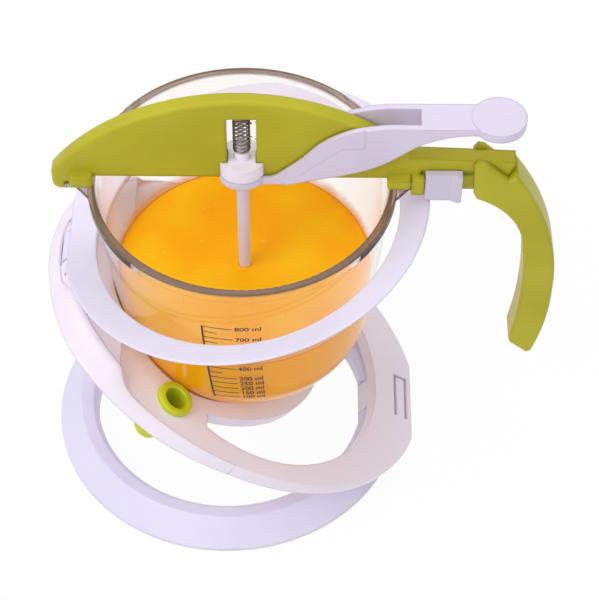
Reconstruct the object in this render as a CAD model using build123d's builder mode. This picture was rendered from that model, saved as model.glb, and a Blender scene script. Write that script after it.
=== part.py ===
from build123d import *
import os
from math import atan2, cos, dist, pi, radians, sin, sqrt, tan

# Batter dispenser standing in its folding stand, in millimetres.
# X runs from the bowl towards the handle and Z is up.
# The origin is the centre of the base ring, on the surface that it stands on.

# Clearances
RUN_FIT = 0.05
PART_GAP = 0.3
SLIDE_GAP = 0.4
BOWL_GAP = 0.45

# Base ring
BASE_RADIUS = 89.9
BASE_FOOT = 1.6
BASE_HEIGHT = 13.3
BASE_CREST_INSET = 11.9
BASE_EDGE_INSET = 17.9
BASE_EDGE_DROP = 0.7
BASE_BAND = 20.3
BASE_SKIN = 2.4
BASE_BLOCK_ANGLE = 17.0
BASE_HINGE_INSET = 18.7
BASE_HINGE_Z = 6.0
BASE_LUG_WIDTH = 18.0
BASE_PIN_LENGTH = 32.0
HINGE_PIN_RADIUS = 1.5

# Tray frame, along and across its sloping plane
TRAY_TILT = 34.68
TRAY_FOLD = 24.0
TRAY_THICKNESS = 7.0
TRAY_HINGE_ALONG = 184.7
TRAY_HINGE_DROP = 7.6
TRAY_LUG_RADIUS = 3.6
TRAY_BACK = 10.1
TRAY_FRONT = 20.4
TRAY_CHORD = 4.0
TRAY_HALF_WIDTH = 86.2
TRAY_EDGE_ROUND = 1.5
GAP_BACK = 78.2
GAP_RADIUS = 74.6
GAP_TIP_BACK = 20.8
TONGUE_BACK = 33.9
TONGUE_LENGTH = 78.6
TONGUE_WIDTH = 62.3
PAD_HEIGHT = 6.8
PAD_INSET = 2.1
PAD_END = 25.5
PAD_ROUND = 14.0
SNAP_OFFSET = 10.2
SNAP_WIDTH = 5.2
SNAP_HALF_LENGTH = 13.2
SNAP_CUT = 1.5
CRADLE_SKIN = 2.5
FLOOR_CLEARANCE = 0.6

# Top ring and its hinge
RING_HINGE_ALONG = -4.43
RING_HINGE_HEIGHT = 2.89
RING_FAR_REACH = 19.34
RING_FAR_DROP = 12.74
RING_RISE = 8.8
RING_OVERHANG = 0.8
RING_BAND = 14.9
RING_EDGE_HEIGHT = 1.6
RING_DISH = 3.4
RING_INNER_HEIGHT = 2.6
RING_EDGE = 2.2
RING_BARREL_RADIUS = 3.8
RING_BARREL_LENGTH = 18.0
RING_PIN_LENGTH = 34.0

# Spare nozzle
NOZZLE_BACK = 40.3
NOZZLE_INSET = 6.5
NOZZLE_FLANGE_RADIUS = 9.2
NOZZLE_FLANGE_HEIGHT = 3.0
NOZZLE_RADIUS = 7.0
NOZZLE_TIP_RADIUS = 6.4
NOZZLE_BORE = 5.7
NOZZLE_OUTLET = 4.2
NOZZLE_LENGTH = 26.0

# Bowl
BOWL_OFFSET = 13.781
RIM_RISE = 58.102
RIM_OVERHANG = 3.7
RIM_LIP = 5.2
BOWL_TOP_RADIUS = 68.3
BOWL_TAPER = 6.13
BOWL_CORNER_RADIUS = 36.0
BOWL_SINK = 61.298
BOWL_FLOOR_SLOPE = 6.0
BOWL_WALL = 2.4
OUTLET_RADIUS = 4.6
NECK_WALL = 2.0
NECK_LENGTH = 5.0
LUG_REACH = 10.0
LUG_NECK = 5.2
LUG_ROOT_HALF = 14.0
LUG_TIP_HALF = 5.2
LUG_THICKNESS = 2.5
LUG_DROP = 0.9

# Batter
BATTER_DEPTH = 56.2
BATTER_GAP = 0.35
BATTER_ROOM = 0.8
PLUNGER_TRAVEL = 11.2

# Places of the stand, the bowl's rim and its floor
tray_u = Vector(cos(radians(TRAY_TILT)), 0, -sin(radians(TRAY_TILT)))
tray_n = Vector(sin(radians(TRAY_TILT)), 0, cos(radians(TRAY_TILT)))
base_crest = BASE_RADIUS - BASE_CREST_INSET
base_edge = BASE_RADIUS - BASE_EDGE_INSET
base_inner = BASE_RADIUS - BASE_BAND
base_hinge_x = BASE_RADIUS - BASE_HINGE_INSET
base_hinge = Vector(base_hinge_x, 0, BASE_HINGE_Z)
tray_lift = TRAY_THICKNESS + TRAY_HINGE_DROP
tray_origin = base_hinge - tray_u * TRAY_HINGE_ALONG + tray_n * tray_lift
tray_top = Plane(origin=tray_origin, x_dir=tray_u, z_dir=tray_n)
tray_side = Plane(origin=tray_origin, x_dir=tray_u, z_dir=(0, -1, 0))
tray_end = TRAY_HINGE_ALONG + TRAY_FRONT
tray_centre = (tray_end + TRAY_CHORD - TRAY_BACK) / 2
tray_half_length = (tray_end + TRAY_CHORD + TRAY_BACK) / 2
bowl_reach = BOWL_TOP_RADIUS + BOWL_OFFSET
bowl_along = bowl_reach / cos(radians(TRAY_TILT))
bowl_x = tray_origin.X + bowl_reach
rim_height = tray_origin.Z + RIM_RISE
rim_radius = BOWL_TOP_RADIUS + RIM_OVERHANG
bowl_floor = tray_origin.Z - BOWL_SINK
batter_level = bowl_floor + BATTER_DEPTH
lug_tip = rim_radius + LUG_REACH
lug_shoulder = rim_radius + LUG_NECK
nozzle_along = bowl_along - NOZZLE_BACK
nozzle_across = NOZZLE_INSET - BOWL_TOP_RADIUS
gap_centre = TRAY_HINGE_ALONG - GAP_BACK
gap_tip = bowl_along - GAP_TIP_BACK
tongue_centre = bowl_along - TONGUE_BACK
snap_start = TRAY_HINGE_ALONG + SNAP_OFFSET
snap_end = snap_start + SNAP_WIDTH

# Bridge
BRIDGE_HALF = 4.0
BRIDGE_BOTTOM = rim_height + 3.5
ARCH_PEAK = rim_height + 50.8
ARCH_FOOT = rim_height + 6.1
ARCH_CENTRE = -1.0
BRIDGE_LEFT = -rim_radius - 16.0
BRIDGE_NOSE = 4.2
BRIDGE_ROUND = 1.6
HOOK_BOTTOM = rim_height - 5.7
HOOK_TOE = -rim_radius - 7.5
BEAM_TOP = rim_height + 16.5
BEAM_END_TOP = rim_height + 14.2
BEAM_END = rim_radius + 53.5
BEAM_END_FOOT = rim_radius + 48.0
BEAM_DEEP = rim_height - 3.5
BEAM_DEEP_START = rim_radius + 28.5
BLOCK_START = rim_radius + 6.0
BLOCK_END = rim_radius + 12.0
BLOCK_HALF = 7.0
BLOCK_TOP = rim_height + 6.3
BLOCK_BOTTOM = rim_height - 4.7
SLOT_HALF = 6.8
SLOT_TOP = rim_height + 40.8
PEG_RADIUS = 2.6
PEG_LENGTH = 3.0
CLIP_WIDTH = 10.8
CLIP_REACH = 4.8
CLIP_ROUND = 2.0
CLIP_LEFT = -rim_radius - 2.2
CLIP_RIGHT = rim_radius + 0.2
CLIP_BOTTOM = rim_height + 0.6
CLIP_TOP = rim_height + 5.8

# Handle
HANDLE_HALF = 8.0
HANDLE_ROUND = 1.5
HANDLE_PIN_X = rim_radius + 41.0
HANDLE_PIN_Z = rim_height + 6.3
HANDLE_PIN_RADIUS = 1.5
HANDLE_PIN_HALF = 6.6

# Lever
LEVER_X = 62.0
LEVER_Z = rim_height + 21.8
LEVER_HALF = 8.2
LEVER_GAP_HALF = 5.0
LEVER_FORK_END = 81.0
LEVER_TOP = rim_height + 39.5
PAD_X = 116.0
PAD_RADIUS = 12.5
PAD_THICKNESS = 3.8
PAD_RAISE = 0.5
ARM_RECESS = 0.7
ARM_RECESS_END = 56.0
ARM_RECESS_START = 9.0
FINGER_RADIUS = 11.5
FINGER_TOP = rim_height + 5.6
FINGER_THICKNESS = 3.4
LEVER_PIN_RADIUS = 2.0
LEVER_PIN_HALF = 6.9

# Plunger and return spring
HEAD_RADIUS = 11.0
HEAD_BOTTOM = rim_height + 5.9
HEAD_TOP = rim_height + 13.3
HEAD_BOSS_RADIUS = 3.7
HEAD_BOSS_TOP = rim_height + 17.8
HEAD_PIN_RADIUS = 2.8
HEAD_PIN_TOP = rim_height + 21.8
ROD_RADIUS = 3.0
SPIGOT_RADIUS = 2.0
SPIGOT_LENGTH = 6.0
TIP_COLLAR_RADIUS = 7.0
TIP_COLLAR_BASE = 3.0
TIP_COLLAR_HEIGHT = 7.0
SEAL_RADIUS = 7.4
SEAL_LIFT = 0.75
SPRING_RADIUS = 3.68
SPRING_WIRE = 0.42
SPRING_TURNS = 10
SPRING_END_PITCH = 1.3

# Lock slider
SLIDER_START = rim_radius + 12.3
SLIDER_END = rim_radius + 29.2
SLIDER_HALF = 7.6
SLIDER_INNER = 4.4
SLIDER_BOTTOM = rim_height - 7.5
SLIDER_FLOOR = rim_height - 4.0
SLIDER_TOP = rim_height + 9.3
SLIDER_RIDGE_START = rim_radius + 24.3
SLIDER_RIDGE = 1.5
SLIDER_TONGUE_START = rim_radius + 7.4
SLIDER_TONGUE_HALF = 3.6
SLIDER_TONGUE_BOTTOM = rim_height - 6.9
GROOVE_BOTTOM = rim_height + 5.4
GROOVE_TOP = rim_height + 8.4
GROOVE_DEPTH = 1.3
GROOVE_START = rim_radius + 10.0
GROOVE_END = rim_radius + 35.5

# Places that follow from the sizes above
ring_hinge = tray_origin + tray_u * RING_HINGE_ALONG + tray_n * RING_HINGE_HEIGHT
ring_far = Vector(bowl_x + BOWL_TOP_RADIUS + RING_FAR_REACH, 0, rim_height - RING_FAR_DROP)
ring_way = ring_far - ring_hinge
ring_span = sqrt(ring_way.length**2 - RING_RISE**2)
ring_tilt = atan2(ring_way.Z, ring_way.X) - atan2(RING_RISE, ring_span)
ring_reach = (ring_span - RING_OVERHANG) / 2
ring_radius = ring_reach + RING_OVERHANG
ring_inner = ring_radius - RING_BAND
ring_chord = ring_reach - RING_EDGE
ring_u = Vector(cos(ring_tilt), 0, sin(ring_tilt))
ring_n = Vector(-sin(ring_tilt), 0, cos(ring_tilt))
ring_centre = ring_hinge + ring_u * ring_reach + ring_n * RING_RISE
ring_top = Plane(origin=ring_centre, x_dir=ring_u, z_dir=ring_n)
ring_side = Plane(origin=ring_hinge, x_dir=ring_u, z_dir=(0, -1, 0))
ring_section = Plane(origin=ring_centre, x_dir=ring_u, z_dir=(0, -1, 0))
front = Plane(origin=(bowl_x, 0, 0), x_dir=(1, 0, 0), z_dir=(0, -1, 0))
rim_front = Plane(origin=(bowl_x + rim_radius, 0, rim_height), x_dir=(1, 0, 0), z_dir=(0, -1, 0))
bowl_axis = Axis((bowl_x, 0, 0), (0, 0, 1))
neck_bottom = bowl_floor - NECK_LENGTH
lug_top = rim_height - LUG_DROP
lug_bottom = lug_top - LUG_THICKNESS
lug_ceiling = lug_top + SLIDE_GAP


def bowl_side(offset):
    """Points of the bowl's side from the floor's end to the rim, moved outwards by offset.

    The side is a straight floor, a corner arc and a straight wall. The corner arc keeps
    its centre, so that every offset of it is parallel to the inner face.

    Args:
        offset: distance outwards from the inner face.

    Returns:
        Floor tangent point, arc middle, wall tangent point, wall point at the rim height,
        and a function that gives the floor's height at a radius.
    """
    taper = radians(BOWL_TAPER)
    slope = radians(BOWL_FLOOR_SLOPE)
    wall_k = cos(taper) * BOWL_TOP_RADIUS - sin(taper) * rim_height - BOWL_CORNER_RADIUS
    floor_k = sin(slope) * OUTLET_RADIUS - cos(slope) * bowl_floor - BOWL_CORNER_RADIUS
    turn = cos(taper + slope)
    centre_r = (cos(slope) * wall_k - sin(taper) * floor_k) / turn
    centre_z = (sin(slope) * wall_k - cos(taper) * floor_k) / turn
    reach = BOWL_CORNER_RADIUS + offset
    middle = radians(-90 + (90 + BOWL_FLOOR_SLOPE - BOWL_TAPER) / 2)
    floor_point = (centre_r + reach * sin(slope), centre_z - reach * cos(slope))
    arc_point = (centre_r + reach * cos(middle), centre_z + reach * sin(middle))
    wall_point = (centre_r + reach * cos(taper), centre_z - reach * sin(taper))
    rim_point = (wall_point[0] + (rim_height - wall_point[1]) * tan(taper), rim_height)

    def floor_height(radius):
        return floor_point[1] - (floor_point[0] - radius) * tan(slope)

    return floor_point, arc_point, wall_point, rim_point, floor_height


# Base ring: a hollow skirt, cut flat where the open tray frame rests on it
with BuildPart() as base_ring:
    with BuildSketch(Plane.XZ):
        with BuildLine():
            Polyline(
                (base_inner, 0),
                (BASE_RADIUS, 0),
                (BASE_RADIUS, BASE_FOOT),
                (base_crest, BASE_HEIGHT),
                (base_edge, BASE_HEIGHT - BASE_EDGE_DROP),
                (base_inner, BASE_HEIGHT - BASE_EDGE_DROP - 2.4),
                close=True,
            )
        make_face()
    revolve(axis=Axis.Z)
    with BuildSketch(Plane.XZ.rotated((0, 0, BASE_BLOCK_ANGLE))):
        with BuildLine():
            Polyline(
                (base_inner + BASE_SKIN, 0),
                (BASE_RADIUS - BASE_SKIN, 0),
                (base_crest - 0.6, BASE_HEIGHT - BASE_SKIN),
                (base_edge + 0.8, BASE_HEIGHT - BASE_EDGE_DROP - BASE_SKIN),
                (base_inner + BASE_SKIN, BASE_HEIGHT - BASE_EDGE_DROP - 2.4 - BASE_SKIN),
                close=True,
            )
        make_face()
    revolve(axis=Axis.Z, revolution_arc=360 - 2 * BASE_BLOCK_ANGLE, mode=Mode.SUBTRACT)
    with BuildSketch(Plane.XZ):
        with Locations((base_hinge_x, BASE_HINGE_Z)):
            Circle(TRAY_LUG_RADIUS)
        with BuildLine():
            Polyline(
                (base_hinge_x, BASE_HINGE_Z - TRAY_LUG_RADIUS),
                (base_hinge_x + 8, BASE_HINGE_Z - TRAY_LUG_RADIUS),
                (base_hinge_x + 8, BASE_HINGE_Z + TRAY_LUG_RADIUS),
                (base_hinge_x, BASE_HINGE_Z + TRAY_LUG_RADIUS),
                close=True,
            )
        make_face()
    extrude(amount=BASE_PIN_LENGTH / 2 + 1, both=True)
    for fold in (0, TRAY_FOLD):
        lean = radians(TRAY_TILT - fold)
        seat_n = Vector(sin(lean), 0, cos(lean))
        seat = Plane(
            origin=base_hinge + seat_n * (TRAY_HINGE_DROP - SLIDE_GAP),
            x_dir=(cos(lean), 0, -sin(lean)),
            z_dir=seat_n,
        )
        with BuildSketch(seat):
            with Locations((20, 0)):
                Rectangle(60, 200)
        extrude(amount=30, mode=Mode.SUBTRACT)
    with BuildSketch(Plane.XZ):
        with Locations((base_hinge_x, BASE_HINGE_Z)):
            Circle(TRAY_HINGE_DROP + TRAY_LUG_RADIUS)
    extrude(amount=BASE_LUG_WIDTH / 2 + SLIDE_GAP, both=True, mode=Mode.SUBTRACT)
    with BuildSketch(Plane.XZ):
        with Locations((base_hinge_x, BASE_HINGE_Z)):
            Circle(HINGE_PIN_RADIUS)
    extrude(amount=BASE_PIN_LENGTH / 2, both=True, mode=Mode.SUBTRACT)
base_ring.part.label = "base_ring"
export_step(base_ring.part, "parts/base_ring.step")

with BuildPart() as base_hinge_pin:
    with BuildSketch(Plane.XZ):
        with Locations((base_hinge_x, BASE_HINGE_Z)):
            Circle(HINGE_PIN_RADIUS)
    extrude(amount=BASE_PIN_LENGTH / 2, both=True)
base_hinge_pin.part.label = "base_hinge_pin"
export_step(base_hinge_pin.part, "parts/base_hinge_pin.step")

# Tray frame: sloping oval plate with the drip gap, hinge pad, bowl cradle and hinge lugs
cradle_floor, cradle_arc, cradle_wall, cradle_rim, cradle_height = bowl_side(
    BOWL_WALL + BOWL_GAP + CRADLE_SKIN
)
well_floor, well_arc, well_wall, well_rim, well_height = bowl_side(BOWL_WALL + BOWL_GAP)
well_neck = OUTLET_RADIUS + NECK_WALL + BOWL_GAP
cradle_neck = well_neck + CRADLE_SKIN

with BuildSketch() as drip_gap:
    with Locations((gap_centre, 0)):
        Circle(GAP_RADIUS)
    with Locations((tongue_centre, 0)):
        Ellipse(TONGUE_LENGTH, TONGUE_WIDTH, mode=Mode.SUBTRACT)
    with Locations((gap_tip - 100, 0)):
        Rectangle(200, 400, mode=Mode.SUBTRACT)

with BuildPart() as tray_frame:
    with BuildSketch(tray_top):
        with Locations((tray_centre, 0)):
            Ellipse(tray_half_length, TRAY_HALF_WIDTH)
        with Locations((tray_end + 20, 0)):
            Rectangle(40, 2 * TRAY_HALF_WIDTH, mode=Mode.SUBTRACT)
    extrude(amount=-TRAY_THICKNESS)
    fillet(tray_frame.faces().sort_by(Axis(tray_origin, tray_n))[-1].edges(), TRAY_EDGE_ROUND)
    with BuildSketch(tray_top.offset(-2)):
        with Locations((tray_centre, 0)):
            Ellipse(tray_half_length - PAD_INSET, TRAY_HALF_WIDTH - PAD_INSET)
        with Locations((PAD_END - 50, 0)):
            RectangleRounded(100, 2 * TRAY_HALF_WIDTH + 40, PAD_ROUND, mode=Mode.INTERSECT)
    extrude(amount=PAD_HEIGHT + 2)
    with BuildSketch(front) as cradle_shape:
        with BuildLine():
            Polyline(
                cradle_floor,
                (cradle_neck, cradle_height(cradle_neck)),
                (cradle_neck, neck_bottom - BOWL_GAP - CRADLE_SKIN),
                (0, neck_bottom - BOWL_GAP - CRADLE_SKIN),
                (0, cradle_rim[1]),
                cradle_rim,
                cradle_wall,
            )
            ThreePointArc(cradle_wall, cradle_arc, cradle_floor)
        make_face()
    cradle = revolve(axis=bowl_axis, mode=Mode.PRIVATE)
    with BuildSketch(tray_top):
        with Locations((tray_centre, 0)):
            Ellipse(tray_half_length - 2, TRAY_HALF_WIDTH - 2)
    under = extrude(amount=-60, mode=Mode.PRIVATE)
    add(cradle & under)
    with BuildSketch(tray_top):
        add(drip_gap.sketch)
    extrude(amount=-60, both=False, mode=Mode.SUBTRACT)
    with BuildSketch(front):
        with BuildLine():
            Polyline(
                well_floor,
                (well_neck, well_height(well_neck)),
                (well_neck, neck_bottom - BOWL_GAP),
                (0, neck_bottom - BOWL_GAP),
                (0, well_rim[1]),
                well_rim,
                well_wall,
            )
            ThreePointArc(well_wall, well_arc, well_floor)
        make_face()
    revolve(axis=bowl_axis, mode=Mode.SUBTRACT)
    with BuildSketch(tray_side):
        with Locations((TRAY_HINGE_ALONG, -tray_lift)):
            Circle(TRAY_LUG_RADIUS)
        with BuildLine():
            Polyline(
                (TRAY_HINGE_ALONG - TRAY_LUG_RADIUS, -tray_lift),
                (TRAY_HINGE_ALONG + TRAY_LUG_RADIUS, -tray_lift),
                (TRAY_HINGE_ALONG + TRAY_LUG_RADIUS + 2, 0.5 - TRAY_THICKNESS),
                (TRAY_HINGE_ALONG - TRAY_LUG_RADIUS, 0.5 - TRAY_THICKNESS),
                close=True,
            )
        make_face()
    extrude(amount=BASE_LUG_WIDTH / 2, both=True)
    with BuildSketch(tray_side):
        with Locations((TRAY_HINGE_ALONG, -tray_lift)):
            Circle(HINGE_PIN_RADIUS + RUN_FIT)
    extrude(amount=BASE_LUG_WIDTH, both=True, mode=Mode.SUBTRACT)
    with BuildSketch(tray_side):
        with Locations((RING_HINGE_ALONG, RING_HINGE_HEIGHT)):
            Circle(RING_BARREL_RADIUS + SLIDE_GAP)
        with BuildLine():
            Polyline(
                (RING_HINGE_ALONG - 8, RING_HINGE_HEIGHT),
                (RING_HINGE_ALONG - 8, PAD_HEIGHT + 5),
                (RING_HINGE_ALONG + 9, PAD_HEIGHT + 5),
                (RING_HINGE_ALONG + 9, PAD_HEIGHT - 1),
                (RING_HINGE_ALONG + RING_BARREL_RADIUS, RING_HINGE_HEIGHT),
                close=True,
            )
        make_face()
    extrude(amount=RING_BARREL_LENGTH / 2 + SLIDE_GAP, both=True, mode=Mode.SUBTRACT)
    with BuildSketch(tray_side):
        with Locations((RING_HINGE_ALONG, RING_HINGE_HEIGHT)):
            Circle(HINGE_PIN_RADIUS)
    extrude(amount=RING_PIN_LENGTH / 2, both=True, mode=Mode.SUBTRACT)
    with BuildSketch(tray_top):
        with Locations((nozzle_along, nozzle_across)):
            Circle(NOZZLE_RADIUS + PART_GAP)
        with Locations((snap_start - SNAP_CUT / 2, 0), (snap_end + SNAP_CUT / 2, 0)):
            Rectangle(SNAP_CUT, 2 * SNAP_HALF_LENGTH)
        with Locations(((snap_start + snap_end) / 2, SNAP_HALF_LENGTH - SNAP_CUT / 2)):
            Rectangle(snap_end - snap_start, SNAP_CUT)
    extrude(amount=-40, mode=Mode.SUBTRACT)
    with BuildSketch(Plane.XY.offset(FLOOR_CLEARANCE)):
        Rectangle(400, 400)
    extrude(amount=-30, mode=Mode.SUBTRACT)
tray_frame.part.label = "tray_frame"
export_step(tray_frame.part, "parts/tray_frame.step")

with BuildPart() as ring_hinge_pin:
    with BuildSketch(tray_side):
        with Locations((RING_HINGE_ALONG, RING_HINGE_HEIGHT)):
            Circle(HINGE_PIN_RADIUS)
    extrude(amount=RING_PIN_LENGTH / 2, both=True)
ring_hinge_pin.part.label = "ring_hinge_pin"
export_step(ring_hinge_pin.part, "parts/ring_hinge_pin.step")

# Top ring: a shallow dish with a straight hinge edge and a barrel under it
with BuildPart() as top_ring:
    with BuildSketch(ring_section):
        with BuildLine():
            Polyline(
                (ring_inner, -RING_DISH - RING_INNER_HEIGHT),
                (ring_radius - 0.6, 0),
                (ring_radius, 0.5),
                (ring_radius, RING_EDGE_HEIGHT - 0.5),
                (ring_radius - 0.6, RING_EDGE_HEIGHT),
                (ring_inner + 0.6, -RING_DISH),
                (ring_inner, -RING_DISH - 0.5),
                close=True,
            )
        make_face()
    revolve(axis=Axis(ring_centre, ring_n))
    with BuildSketch(ring_top.offset(-RING_DISH - RING_INNER_HEIGHT - 1)):
        with Locations((-ring_chord - 10, 0)):
            Rectangle(20, 2 * ring_radius)
    extrude(amount=RING_DISH + RING_INNER_HEIGHT + RING_EDGE_HEIGHT + 2, mode=Mode.SUBTRACT)
    with BuildSketch(ring_side):
        Circle(RING_BARREL_RADIUS)
        with BuildLine():
            Polyline(
                (-1.5, 0),
                (ring_reach - ring_chord, RING_RISE - 0.4),
                (ring_reach - ring_chord + 5, RING_RISE - 1.6),
                (RING_BARREL_RADIUS - 0.4, 0),
                close=True,
            )
        make_face()
    extrude(amount=RING_BARREL_LENGTH / 2, both=True)
    with BuildSketch(ring_side):
        Circle(HINGE_PIN_RADIUS + RUN_FIT)
    extrude(amount=RING_BARREL_LENGTH, both=True, mode=Mode.SUBTRACT)
top_ring.part.label = "top_ring"
export_step(top_ring.part, "parts/top_ring.step")

# Spare nozzle: soft sleeve with a flange, hanging in the tray frame
nozzle_side = Plane(
    origin=tray_top.from_local_coords((nozzle_along, nozzle_across, 0)),
    x_dir=tray_u,
    z_dir=(0, -1, 0),
)
with BuildPart() as spare_nozzle:
    with BuildSketch(nozzle_side) as nozzle_shape:
        with BuildLine():
            Polyline(
                (NOZZLE_BORE, NOZZLE_FLANGE_HEIGHT),
                (NOZZLE_FLANGE_RADIUS, NOZZLE_FLANGE_HEIGHT),
                (NOZZLE_FLANGE_RADIUS, 0),
                (NOZZLE_RADIUS, 0),
                (NOZZLE_RADIUS, -TRAY_THICKNESS - 2),
                (NOZZLE_TIP_RADIUS, -NOZZLE_LENGTH),
                (NOZZLE_OUTLET, -NOZZLE_LENGTH),
                (NOZZLE_BORE, -TRAY_THICKNESS - 4),
                close=True,
            )
        make_face()
        flange_corners = nozzle_shape.vertices().group_by(Axis.Y)[-1]
        fillet(flange_corners, 0.9)
    revolve(axis=Axis(nozzle_side.origin, tray_n))
spare_nozzle.part.label = "spare_nozzle"
export_step(spare_nozzle.part, "parts/spare_nozzle.step")

# Bowl: clear funnel with a rim lip, two lugs and the outlet neck
in_floor, in_arc, in_wall, in_rim, in_height = bowl_side(0)
out_floor, out_arc, out_wall, out_rim, out_height = bowl_side(BOWL_WALL)
neck_radius = OUTLET_RADIUS + NECK_WALL
lip_bottom = rim_height - RIM_LIP
lip_root = out_rim[0] - (RIM_LIP + 1.2) * tan(radians(BOWL_TAPER))
with BuildPart() as bowl:
    with BuildSketch(front) as bowl_shape:
        with BuildLine():
            Polyline(
                in_floor,
                (OUTLET_RADIUS, bowl_floor),
                (OUTLET_RADIUS, neck_bottom),
                (neck_radius, neck_bottom),
                (neck_radius, out_height(neck_radius)),
                out_floor,
            )
            ThreePointArc(out_floor, out_arc, out_wall)
            Polyline(
                out_wall,
                (lip_root, lip_bottom - 1.2),
                (rim_radius, lip_bottom),
                (rim_radius, rim_height),
                in_rim,
                in_wall,
            )
            ThreePointArc(in_wall, in_arc, in_floor)
        make_face()
        fillet(bowl_shape.vertices().group_by(Axis.Y)[-1], 1.1)
    revolve(axis=bowl_axis)
    for side in (-1, 1):
        with BuildSketch(Plane.XY.offset(lug_bottom)):
            with BuildLine():
                Polyline(
                    (bowl_x + side * (BOWL_TOP_RADIUS + 1.2), -LUG_ROOT_HALF),
                    (bowl_x + side * lug_shoulder, -LUG_TIP_HALF),
                    (bowl_x + side * lug_tip, -LUG_TIP_HALF),
                    (bowl_x + side * lug_tip, LUG_TIP_HALF),
                    (bowl_x + side * lug_shoulder, LUG_TIP_HALF),
                    (bowl_x + side * (BOWL_TOP_RADIUS + 1.2), LUG_ROOT_HALF),
                    close=True,
                )
            make_face()
        extrude(amount=LUG_THICKNESS)
bowl.part.label = "bowl"
export_step(bowl.part, "parts/bowl.step")

# Bridge: arched plate over the rim, running out into the beam
arch_run = ARCH_CENTRE - BRIDGE_LEFT
arch_fall = ARCH_PEAK - ARCH_FOOT
arch_radius = (arch_run**2 + arch_fall**2) / (2 * arch_fall)
arch_z = ARCH_PEAK - arch_radius
arch_right = ARCH_CENTRE + sqrt(arch_radius**2 - (BEAM_TOP - arch_z) ** 2)
with BuildPart() as bridge:
    with BuildSketch(front) as bridge_shape:
        with BuildLine():
            ThreePointArc((BRIDGE_LEFT, ARCH_FOOT), (ARCH_CENTRE, ARCH_PEAK), (arch_right, BEAM_TOP))
            Polyline(
                (arch_right, BEAM_TOP),
                (BEAM_END, BEAM_END_TOP),
                (BEAM_END_FOOT, BEAM_DEEP),
                (BEAM_DEEP_START, BEAM_DEEP),
                (BEAM_DEEP_START, BRIDGE_BOTTOM),
                (BLOCK_END, BRIDGE_BOTTOM),
                (BLOCK_END, lug_ceiling),
                (rim_radius + 1, lug_ceiling),
                (rim_radius + 1, BRIDGE_BOTTOM),
                (SLOT_HALF, BRIDGE_BOTTOM),
                (SLOT_HALF, SLOT_TOP),
                (-SLOT_HALF, SLOT_TOP),
                (-SLOT_HALF, BRIDGE_BOTTOM),
                (-rim_radius - 1, BRIDGE_BOTTOM),
                (-rim_radius - 1, lug_ceiling),
                (-lug_tip - SLIDE_GAP, lug_ceiling),
                (-lug_tip - SLIDE_GAP, lug_bottom - SLIDE_GAP),
                (HOOK_TOE, lug_bottom - SLIDE_GAP),
                (HOOK_TOE, HOOK_BOTTOM),
                (BRIDGE_LEFT, HOOK_BOTTOM),
                (BRIDGE_LEFT, ARCH_FOOT),
            )
        make_face()
        fillet(bridge_shape.vertices().group_by(Axis.X)[0], BRIDGE_NOSE)
    extrude(amount=BRIDGE_HALF, both=True)
    fillet(bridge.edges().filter_by(GeomType.CIRCLE), BRIDGE_ROUND)
    with BuildSketch(front):
        with BuildLine():
            Polyline(
                (BLOCK_START, BLOCK_BOTTOM),
                (BLOCK_END, BLOCK_BOTTOM),
                (BLOCK_END, BLOCK_TOP),
                (BLOCK_START, BLOCK_TOP),
                close=True,
            )
        make_face()
    extrude(amount=BLOCK_HALF, both=True)
    with BuildSketch(front):
        with BuildLine():
            Polyline(
                (BLOCK_START - 1, BLOCK_BOTTOM - 1),
                (BLOCK_END + 1, BLOCK_BOTTOM - 1),
                (BLOCK_END + 1, lug_ceiling),
                (BLOCK_START - 1, lug_ceiling),
                close=True,
            )
        make_face()
    extrude(amount=LUG_TIP_HALF + SLIDE_GAP, both=True, mode=Mode.SUBTRACT)
    with BuildSketch(Plane.XY.offset(CLIP_BOTTOM)):
        with Locations((bowl_x + CLIP_LEFT, 0), (bowl_x + CLIP_RIGHT, 0)):
            RectangleRounded(CLIP_WIDTH, 2 * (BRIDGE_HALF + CLIP_REACH), CLIP_ROUND)
    extrude(amount=CLIP_TOP - CLIP_BOTTOM)
    for side in (-1, 1):
        with BuildSketch(front.offset(side * BRIDGE_HALF)):
            with BuildLine():
                Polyline(
                    (GROOVE_START, GROOVE_BOTTOM),
                    (GROOVE_END, GROOVE_BOTTOM),
                    (GROOVE_END, GROOVE_TOP),
                    (GROOVE_START, GROOVE_TOP),
                    close=True,
                )
            make_face()
        extrude(amount=-side * GROOVE_DEPTH, mode=Mode.SUBTRACT)
        with BuildSketch(front.offset(side * BLOCK_HALF)):
            with BuildLine():
                Polyline(
                    (GROOVE_START + 2, GROOVE_BOTTOM),
                    (BLOCK_END + 1, GROOVE_BOTTOM),
                    (BLOCK_END + 1, GROOVE_TOP),
                    (GROOVE_START + 2, GROOVE_TOP),
                    close=True,
                )
            make_face()
        extrude(amount=-side * BLOCK_HALF / 2, mode=Mode.SUBTRACT)
    with BuildSketch(Plane.XY.offset(SLOT_TOP)):
        with Locations((bowl_x, 0)):
            Circle(PEG_RADIUS)
    extrude(amount=-PEG_LENGTH)
    with BuildSketch(front):
        with Locations((LEVER_X, LEVER_Z)):
            Circle(LEVER_PIN_RADIUS)
        with Locations((HANDLE_PIN_X, HANDLE_PIN_Z)):
            Circle(HANDLE_PIN_RADIUS)
    extrude(amount=2 * BRIDGE_HALF, both=True, mode=Mode.SUBTRACT)
bridge.part.label = "bridge"
export_step(bridge.part, "parts/bridge.step")

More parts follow.
